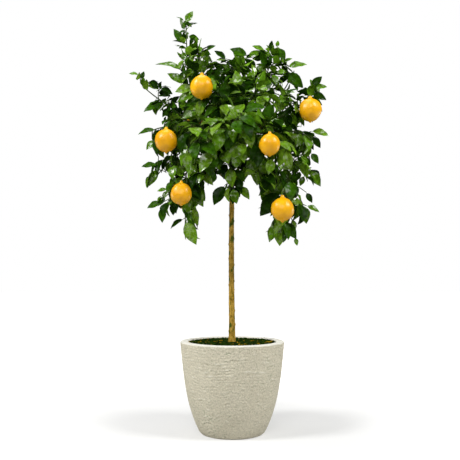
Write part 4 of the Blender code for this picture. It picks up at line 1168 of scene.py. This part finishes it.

# how pale the leaves of a mass are, -1 for dark and 1 for pale, where it isn't 0: painted light and shade,
# paler where light falls on the crown and darker where it lies in shade
paintedLightByMass = {
    "foliage_left_spire": -1.7,
    "foliage_left_arm": -1.3,
    "foliage_left_side": -0.9,
    "foliage_left_low": -1.0,
    "foliage_left_drooping": -1.0,
    "foliage_right_side": -0.8,
    "foliage_right_arm": -0.6,
    "foliage_front_middle": 1.0,
    "foliage_front_left": 0.9,
    "foliage_front_right": 0.9,
    "foliage_left_high": 0.8,
    "foliage_right_high": 0.8,
    "foliage_front_low": 0.5,
    "foliage_right_under": 0.4,
}

leafLook = {
    "roughness": 0.28,
    "underRoughness": 0.65,
    "underGloss": 0.05,
    "leastGloss": 0.015,
    "veins": 62.0,  # as radians to the length of a leaf
    "darkClouds": 0.58,
    "lightClouds": 1.45,
    "paleVeins": 1.7,
    "veinStrength": 0.22,
    "ribStrength": 0.55,
    "underPaleness": 1.4,
    # painted glare: how strongly pale patches are mixed into a glossy leaf's colour, and their colour
    "paintedGlare": 0.15,
    "paintedGlareColour": (0.290, 0.330, 0.180),
}

leafForm = {
    "petiole": 0.09,
    "petioleWidth": 0.010,
    "baseFullness": 0.80,
    "tipFullness": 1.18,
    "stations": (0.0, 0.09, 0.15, 0.26, 0.40, 0.55, 0.70, 0.86, 1.0),
    "ribThickness": 0.006,
    "stalkThickness": 0.022,
    # bend, fold, wave, twist and width of each shape
    "kinds": (
        (0.20, 0.30, 0.016, 0.10, 0.50), (0.25, 0.40, 0.022, -0.20, 0.46),
        (0.50, 0.22, 0.020, -0.25, 0.55), (0.55, 0.34, 0.014, 0.20, 0.50),
        (0.80, 0.28, 0.024, 0.30, 0.54), (0.85, 0.18, 0.018, -0.15, 0.58),
        (1.15, 0.26, 0.020, -0.30, 0.54), (1.20, 0.34, 0.026, 0.25, 0.50),
    ),
}


def bladeWidth(share, width):  # half the width of a leaf at a share of its length
    petiole, least = leafForm["petiole"], leafForm["petioleWidth"]
    if share <= petiole:
        return least
    t = (share - petiole) / (1.0 - petiole)
    a, b = leafForm["baseFullness"], leafForm["tipFullness"]
    widest = a / (a + b)
    fullest = widest**a * (1 - widest) ** b
    return max(least, width / 2 * t**a * (1 - t) ** b / fullest)


# A leaf of unit length along +X with its upper face to +Z. It is closed: its two faces share an edge.
def leafShape(name, bend, fold, wave, twist, width):
    stations, rows, uvs = leafForm["stations"], [], []
    for share in stations[:-1]:
        half = bladeWidth(share, width)
        turn, roll = bend * share, twist * share
        rib = Vector((math.sin(turn) / bend, 0.0, -(1.0 - math.cos(turn)) / bend))
        rise = Vector((math.sin(turn), 0.0, math.cos(turn)))
        across = Vector((0.0, 1.0, 0.0)) * math.cos(roll) + rise * math.sin(roll)
        rise = rise * math.cos(roll) - Vector((0.0, 1.0, 0.0)) * math.sin(roll)
        blade = 1.0 if share > leafForm["petiole"] else 0.0
        row = []
        for side in (-1.0, -0.5, 0.0, 0.5, 1.0):
            ripple = wave * math.sin(share * 15.0 + (1.3 if side > 0 else 0.0)) * side * side * blade
            lift = half * math.tan(fold) * abs(side) * (1.25 - 0.45 * abs(side)) + ripple
            row.append(rib + across * (half * side) + rise * lift)
            uvs.append((0.5 + side / 2, share))
        thick = leafForm["ribThickness"] if blade else leafForm["stalkThickness"]
        row.append(rib - rise * thick)
        uvs.append((0.5, share))
        rows.append(row)
    points = [point for row in rows for point in row]
    points.append(Vector((math.sin(bend) / bend, 0.0, -(1.0 - math.cos(bend)) / bend)))
    uvs.append((0.5, 1.0))
    faces, under = [tuple(range(6))], [False]
    for ring in range(len(rows)):
        low, high = ring * 6, (ring + 1) * 6
        last = ring == len(rows) - 1
        for side in range(4):
            a, b = low + side, low + side + 1
            faces.append((a, high, b) if last else (a, high + side, high + side + 1, b))
            under.append(False)
        for a, b in ((0, 5), (5, 4)):
            faces.append((low + a, low + b, high) if last else (low + a, low + b, high + b, high + a))
            under.append(True)
    mesh = meshFrom(name, points, faces)
    setAttribute(mesh, "underside", "BOOLEAN", under, "FACE")
    layer = mesh.uv_layers.new(name="leafUv")
    for loop in mesh.loops:
        layer.data[loop.index].uv = uvs[loop.vertex_index]
    mesh.shade_smooth()
    return mesh


def leafMaterial(name, colour, roughness, gloss):
    made, tree, shader = startMaterial(name, Roughness=roughness, Specular_IOR_Level=gloss)
    uv = addNode(tree, "ShaderNodeUVMap", uv_map="leafUv").outputs["UV"]
    parts = addNode(tree, "ShaderNodeSeparateXYZ", {"Vector": uv}).outputs
    across = mathNode(tree, "ABSOLUTE", mathNode(tree, "MULTIPLY_ADD", parts["X"], 2.0, -1.0))
    rib = softStep(tree, across, 0.10, 0.0)
    slant = mathNode(tree, "MULTIPLY_ADD", across, -0.22, parts["Y"])
    veins = mathNode(tree, "SINE", mathNode(tree, "MULTIPLY", slant, leafLook["veins"]))
    veins = softStep(tree, veins, 0.75, 1.0)
    place = objectPlace(tree)
    clouds = noiseAt(tree, place, 85.0, 4.0)
    dark = tuple(value * leafLook["darkClouds"] for value in colour)
    light = tuple(value * leafLook["lightClouds"] for value in colour)
    shade = blotches(tree, clouds, 0.35, 0.65, (dark, light))
    pale = tuple(value * leafLook["paleVeins"] + 0.001 for value in colour)
    for lines, strength in ((veins, leafLook["veinStrength"]), (rib, leafLook["ribStrength"])):
        shade = mixColours(tree, mathNode(tree, "MULTIPLY", lines, strength), shade, pale)
    # painted glare: pale patches mixed into the colour, stronger on glossy leaves, stand for reflections of
    # the lamps
    patches = softStep(tree, noiseAt(tree, place, 80.0, 3.0), 0.48, 0.62)
    paintedGlare = mathNode(tree, "MULTIPLY", patches, gloss * leafLook["paintedGlare"])
    shade = mixColours(tree, paintedGlare, shade, leafLook["paintedGlareColour"])
    tree.links.new(shade, shader.inputs["Base Color"])
    least = leafLook["leastGloss"]
    shine = mathNode(tree, "MULTIPLY_ADD", patches, gloss - least, least)
    tree.links.new(shine, shader.inputs["Specular IOR Level"])
    height = mathNode(tree, "MULTIPLY_ADD", veins, -0.4, mathNode(tree, "MULTIPLY", clouds, 0.8))
    height = mathNode(tree, "SUBTRACT", height, rib)
    addBump(tree, shader, height, 0.35, 0.0006)
    return made


def leafNodes():
    tree, inputs = startNodes("Set leaves", {
        "Shapes": "Collection", "Upper Face": "Material", "Under Face": "Material"})
    shapes = addNode(tree, "GeometryNodeCollectionInfo", {
        "Collection": inputs["Shapes"], "Separate Children": True, "Reset Children": True})
    facing = addNode(tree, "GeometryNodeInputNamedAttribute", {"Name": "facing"}, data_type="FLOAT_VECTOR")
    size = addNode(tree, "GeometryNodeInputNamedAttribute", {"Name": "size"}, data_type="FLOAT")
    kind = addNode(tree, "GeometryNodeInputNamedAttribute", {"Name": "kind"}, data_type="INT")
    points = addNode(tree, "GeometryNodeMeshToPoints", {"Mesh": inputs["Geometry"]})
    placed = addNode(tree, "GeometryNodeInstanceOnPoints", {
        "Points": points.outputs["Points"], "Instance": shapes.outputs["Instances"],
        "Pick Instance": True, "Instance Index": kind.outputs["Attribute"],
        "Rotation": facing.outputs["Attribute"], "Scale": size.outputs["Attribute"]})
    real = addNode(tree, "GeometryNodeRealizeInstances", {"Geometry": placed.outputs["Instances"]})
    upper = addNode(tree, "GeometryNodeSetMaterial", {
        "Geometry": real.outputs["Geometry"], "Material": inputs["Upper Face"]})
    below = addNode(tree, "GeometryNodeInputNamedAttribute", {"Name": "underside"}, data_type="BOOLEAN")
    under = addNode(tree, "GeometryNodeSetMaterial", {
        "Geometry": upper.outputs["Geometry"], "Selection": below.outputs["Attribute"],
        "Material": inputs["Under Face"]})
    endNodes(tree, under.outputs["Geometry"])
    return tree


def nearestKind(leaf):  # one of the two leaf shapes nearest in bend
    kinds = leafForm["kinds"]
    order = sorted(range(len(kinds)), key=lambda index: abs(kinds[index][0] - leaf["bend"]))
    return order[0] if leaf["pick"] < 0.5 else order[1]


def setLeaves(plan):
    store = bpy.data.collections.new("leaf_shapes")
    for index, kind in enumerate(leafForm["kinds"]):
        store.objects.link(bpy.data.objects.new(f"leaf_{index}", leafShape(f"leaf_{index}", *kind)))
    tree = leafNodes()
    for tint, (name, look) in enumerate(leafTints.items()):
        chosen = [leaf for leaf in plan["leaves"] if leaf["tint"] == tint]
        points = meshFrom(name, [leaf["root"] for leaf in chosen], [])
        turns = []
        for leaf in chosen:
            x, z = leaf["along"], leaf["normal"]
            turns.append(Matrix((x, z.cross(x), z)).transposed().to_euler())
        setAttribute(points, "facing", "FLOAT_VECTOR", [tuple(turn) for turn in turns])
        setAttribute(points, "size", "FLOAT", [leaf["length"] for leaf in chosen])
        setAttribute(points, "kind", "INT", [nearestKind(leaf) for leaf in chosen])
        upper = leafMaterial(name + "_upper", look["colour"], leafLook["roughness"], look["gloss"])
        paler = tuple(value * leafLook["underPaleness"] + 0.001 for value in look["colour"])
        under = leafMaterial(name + "_under", paler, leafLook["underRoughness"], leafLook["underGloss"])
        values = {"Shapes": store, "Upper Face": upper, "Under Face": under}
        piece = grownBy(tree, points, name, **values)
        piece.data.set_sharp_from_angle(angle=math.radians(65))
        finishPiece(piece, "foliage", *masses)
        print(name, len(chosen), "leaves", len(piece.data.polygons), "faces")
    for shape in list(store.objects):
        bpy.data.objects.remove(shape)


# Twigs: green shoots drawn through the plan's paths.

twigLook = {
    "sides": 7,
    "colours": ((0.015, 0.036, 0.003), (0.050, 0.076, 0.010)),
}


def twigNodes():
    tree, inputs = startNodes("Draw twigs", {"Sides": "Int", "Material": "Material"})
    girth = addNode(tree, "GeometryNodeInputNamedAttribute", {"Name": "girth"}, data_type="FLOAT")
    curve = addNode(tree, "GeometryNodeMeshToCurve", {"Mesh": inputs["Geometry"]})
    outline = addNode(tree, "GeometryNodeCurvePrimitiveCircle", {
        "Resolution": inputs["Sides"], "Radius": 1.0})
    tube = addNode(tree, "GeometryNodeCurveToMesh", {
        "Curve": curve.outputs["Curve"], "Profile Curve": outline.outputs["Curve"],
        "Scale": girth.outputs["Attribute"], "Fill Caps": True})
    real = addNode(tree, "GeometryNodeRealizeInstances", {"Geometry": tube.outputs["Mesh"]})
    painted = addNode(tree, "GeometryNodeSetMaterial", {
        "Geometry": real.outputs["Geometry"], "Material": inputs["Material"]})
    endNodes(tree, painted.outputs["Geometry"])
    return tree


def drawTwigs(plan):
    points, edges, girths = [], [], []
    for path, radii in plan["twigs"]:
        first = len(points)
        points += path
        girths += radii
        edges += [(first + step, first + step + 1) for step in range(len(path) - 1)]
    lines = bpy.data.meshes.new("twigs")
    lines.from_pydata([tuple(point) for point in points], edges, [])
    setAttribute(lines, "girth", "FLOAT", girths)
    made, tree, shader = startMaterial("green_shoot", Roughness=0.6, Specular_IOR_Level=0.2)
    green = blotches(tree, noiseAt(tree, objectPlace(tree), 90.0, 3.0), 0.35, 0.7, twigLook["colours"])
    tree.links.new(green, shader.inputs["Base Color"])
    addBump(tree, shader, noiseAt(tree, objectPlace(tree), 700.0), 0.4, 0.0003)
    piece = grownBy(twigNodes(), lines, "twigs", Sides=twigLook["sides"], Material=made)
    piece.data.shade_smooth()
    piece.data.set_sharp_from_angle(angle=math.radians(60))
    finishPiece(piece, "foliage", *masses)
    print("twigs", len(plan["twigs"]))


# Bark: the trunk and boughs as one piece, with fine ridges and small bumps where leaves once grew.

bark = {
    "trunkSides": 44,
    "boughSides": 16,
    "ringPitch": 0.0022,
    "boughPitch": 0.004,
    "ridge": 0.00035,
    "budPitch": 0.017,
    "budHeight": 0.0017,
    "budLength": 0.0030,
    "budWidth": 0.9,
    "collar": 0.35,
    "collarReach": 0.010,
    "tanColours": ((0.175, 0.100, 0.004), (0.500, 0.315, 0.058)),
    "mottleColour": (0.062, 0.082, 0.006),
    "mossColour": (0.014, 0.045, 0.001),
    "youngColours": ((0.017, 0.038, 0.004), (0.054, 0.078, 0.012)),
}


def resampled(path, radii, pitch):  # the path with even rings, smooth from one end to the other
    length = pathLength(path)
    count = max(4, round(length / pitch))
    places, widths, spans = [], [], [0.0]
    for before, after in zip(path, path[1:]):
        spans.append(spans[-1] + (after - before).length)
    index = 0
    for step in range(count + 1):
        at = length * step / count
        while index < len(spans) - 2 and at > spans[index + 1]:
            index += 1
        share = min(1.0, (at - spans[index]) / (spans[index + 1] - spans[index]))
        ends = [path[max(0, index - 1)], path[index], path[index + 1], path[min(len(path) - 1, index + 2)]]
        places.append(catmull(*ends, share))
        widths.append(radii[index] + (radii[index + 1] - radii[index]) * share)
    return places, widths, length


def catmull(a, b, c, d, t):
    return 0.5 * (2 * b + (c - a) * t + (2 * a - 5 * b + 4 * c - d) * t**2 + (3 * b - a - 3 * c + d) * t**3)


# Points and faces of one limb's barky surface, with how young the wood is at each point.
def limbSurface(path, radii, sides, pitch, isTrunk, rng):
    places, widths, length = resampled(path, radii, pitch)
    buds, at, turn = [], 0.015, rng.uniform(0, 6.28)
    while at < length:
        buds.append((at, turn % (2 * math.pi)))
        at += bark["budPitch"] * rng.uniform(0.7, 1.3)
        turn += goldenAngle + rng.uniform(-0.3, 0.3)
    points, youth = [], []
    side = aside((places[1] - places[0]).normalized(), 0.0)
    for ring, (place, width) in enumerate(zip(places, widths)):
        ahead = places[min(ring + 1, len(places) - 1)] - places[max(ring - 1, 0)]
        ahead.normalize()
        side = (side - ahead * side.dot(ahead)).normalized()
        other = ahead.cross(side)
        at = length * ring / (len(places) - 1)
        if not isTrunk:
            width *= 1.0 + bark["collar"] * math.exp(-at / bark["collarReach"])
        near = [(reach, angle) for reach, angle in buds if abs(reach - at) < 3 * bark["budLength"]]
        for step in range(sides):
            angle = 2 * math.pi * step / sides
            spoke = side * math.cos(angle) + other * math.sin(angle)
            grain = Vector((spoke.x * 2.2, spoke.y * 2.2 + spoke.z, at * 22.0 + length * 90.0))
            streak = noise.noise(grain)
            fine = noise.noise((place + spoke * width) * 480.0)
            proud = bark["ridge"] * (streak * 1.4 + fine * 0.6)
            for reach, budTurn in near:
                away = (angle - budTurn + math.pi) % (2 * math.pi) - math.pi
                swell = math.exp(-((reach - at) / bark["budLength"]) ** 2 - (away / bark["budWidth"]) ** 2)
                proud += bark["budHeight"] * swell * min(1.0, width / 0.006)
            points.append(place + spoke * (width + proud))
            youth.append(max(0.0, min(1.0, (0.0062 - width) / 0.0035)))
    faces = ringFaces(0, len(places), sides)
    faces.append(tuple(reversed(range(sides))))
    faces.append(tuple(range((len(places) - 1) * sides, len(places) * sides)))
    return points, faces, youth


def growBark(plan):
    rng = random.Random(7)
    points, faces, youth = [], [], []
    for name, (path, radii) in plan["limbs"].items():
        isTrunk = name == "trunk"
        if isTrunk:
            path, radii = [path[0] - up * 0.004] + path, [radii[0] * 1.08] + radii
        sides = bark["trunkSides"] if isTrunk else bark["boughSides"]
        pitch = bark["ringPitch"] if isTrunk else bark["boughPitch"]
        found, made, young = limbSurface(path, radii, sides, pitch, isTrunk, rng)
        faces += [tuple(index + len(points) for index in face) for face in made]
        points += found
        youth += young
    mesh = meshFrom("bark", points, faces)
    mesh.shade_smooth()
    mesh.set_sharp_from_angle(angle=math.radians(60))
    setAttribute(mesh, "youth", "FLOAT", youth)
    made, tree, shader = startMaterial("tan_bark", Roughness=0.8, Specular_IOR_Level=0.08)
    long = objectPlace(tree, (1.0, 1.0, 0.22))
    streaks = noiseAt(tree, long, 260.0, 3.0)
    tan = blotches(tree, streaks, 0.3, 0.7, bark["tanColours"])
    mottle = noiseAt(tree, objectPlace(tree, (1.0, 1.0, 0.6)), 85.0, 3.0)
    higher = softStep(tree, heightAt(tree, objectPlace(tree)), 0.35, 0.75)
    mottle = mathNode(tree, "MULTIPLY_ADD", higher, 0.14, mottle)
    tan = mixColours(tree, softStep(tree, mottle, 0.54, 0.68), tan, bark["mottleColour"])
    moss = noiseAt(tree, objectPlace(tree, (1.0, 1.0, 0.8)), 260.0, 2.0)
    tan = mixColours(tree, softStep(tree, moss, 0.63, 0.68), tan, bark["mossColour"])
    shoot = blotches(tree, streaks, 0.3, 0.7, bark["youngColours"])
    colour = mixColours(tree, attributeAt(tree, "youth"), tan, shoot)
    tree.links.new(colour, shader.inputs["Base Color"])
    addBump(tree, shader, noiseAt(tree, long, 700.0, 3.0), 0.6, 0.0005)
    mesh.materials.append(made)
    finishPiece(addPiece("bark", mesh), "bark", "trunk", *boughs)


# Lemons, each a little uneven, with a knob at the stalk, a nipple below and a small green calyx.


def lemonProfile(height):  # radius as a share of the widest, at a height of -1 (nipple) to 1 (stalk)
    girth, reach = lemons["knob"] if height > 0 else lemons["nipple"]
    body = math.sqrt(max(0.0, 1.0 - (abs(height) * reach / lemons["bodyReach"]) ** 2.1))
    end = girth * math.sqrt(max(0.0, 1.0 - abs(height) ** 7))
    return (body**6 + end**6) ** (1 / 6)


def buildLemons():
    rng = random.Random(19)
    points, faces = [], []
    for _, middle, _, size in lemons["hung"]:
        middle, shift = Vector(middle), Vector((rng.random(), rng.random(), rng.random())) * 50.0
        first, around, half = len(points), lemons["around"], lemons["length"] * size / 2
        heights = [math.cos(math.pi * ring / lemons["rings"]) for ring in range(1, lemons["rings"])]
        points.append(middle + up * (half * lemons["knob"][1]))
        for height in heights:
            level = height * half * lemons["knob" if height > 0 else "nipple"][1]
            radius = lemonProfile(height) * lemons["radius"] * size
            for step in range(around):
                angle = 2 * math.pi * step / around
                spoke = Vector((math.cos(angle), math.sin(angle), 0.0))
                bumps = noise.noise(spoke * 1.3 + up * (height * 1.5) + shift)
                bumps += 0.35 * noise.noise(spoke * 4.0 + up * (height * 5.0) + shift)
                grown = radius + lemons["lumps"] * 1.8 * bumps * min(1.0, radius / 0.02)
                points.append(middle + spoke * grown + up * level)
        points.append(middle - up * (half * lemons["nipple"][1]))
        last = len(points) - 1
        for step in range(around):
            after = (step + 1) % around
            faces.append((first, first + 1 + step, first + 1 + after))
            faces.append((last, last - around + after, last - around + step))
        faces += ringFaces(first + 1, len(heights), around, flip=True)
    mesh = meshFrom("lemons", points, faces)
    mesh.shade_smooth()
    made, tree, shader = startMaterial("lemon_rind", Roughness=0.36, Specular_IOR_Level=0.33,
                                       Subsurface_Weight=0.03, Subsurface_Scale=0.01)
    place = objectPlace(tree)
    warm = blotches(tree, noiseAt(tree, place, 22.0, 2.0), 0.3, 0.7, lemons["rindColours"])
    tree.links.new(warm, shader.inputs["Base Color"])
    pores = addNode(tree, "ShaderNodeTexVoronoi", {"Vector": place, "Scale": 520.0}).outputs["Distance"]
    addBump(tree, shader, pores, 0.25, 0.0005)
    mesh.materials.append(made)
    finishPiece(addPiece("lemons", mesh), "lemon", *sorted({name for name, _, _, _ in lemons["hung"]}))


def buildCalyxes():  # small green stars at the lemons' stalks
    points, faces = [], []
    for _, middle, _, size in lemons["hung"]:
        top = Vector(middle) + up * (lemons["length"] * size / 2 * lemons["knob"][1] - 0.0004)
        first, corners = len(points), 2 * lemons["calyxLobes"]
        points += [top + up * 0.0016, top - up * 0.001]
        for step in range(corners):
            angle, reach = 2 * math.pi * step / corners, lemons["calyxReach"][step % 2]
            points.append(top + Vector((math.cos(angle) * reach, math.sin(angle) * reach, -0.0012)))
        for step in range(corners):
            a, b = first + 2 + step, first + 2 + (step + 1) % corners
            faces += [(first, a, b), (first + 1, b, a)]
    mesh = meshFrom("calyxes", points, faces)
    made, tree, shader = startMaterial("calyx_green", Roughness=0.6)
    shade = blotches(tree, noiseAt(tree, objectPlace(tree), 300.0), 0.3, 0.7, lemons["calyxColours"])
    tree.links.new(shade, shader.inputs["Base Color"])
    mesh.materials.append(made)
    finishPiece(addPiece("calyxes", mesh), "foliage")


plan = planTree()
print("tree is planned:", len(plan["leaves"]), "leaves,", len(plan["twigs"]), "twigs")
growBark(plan)
drawTwigs(plan)
setLeaves(plan)
buildLemons()
buildCalyxes()
print("tree is grown")
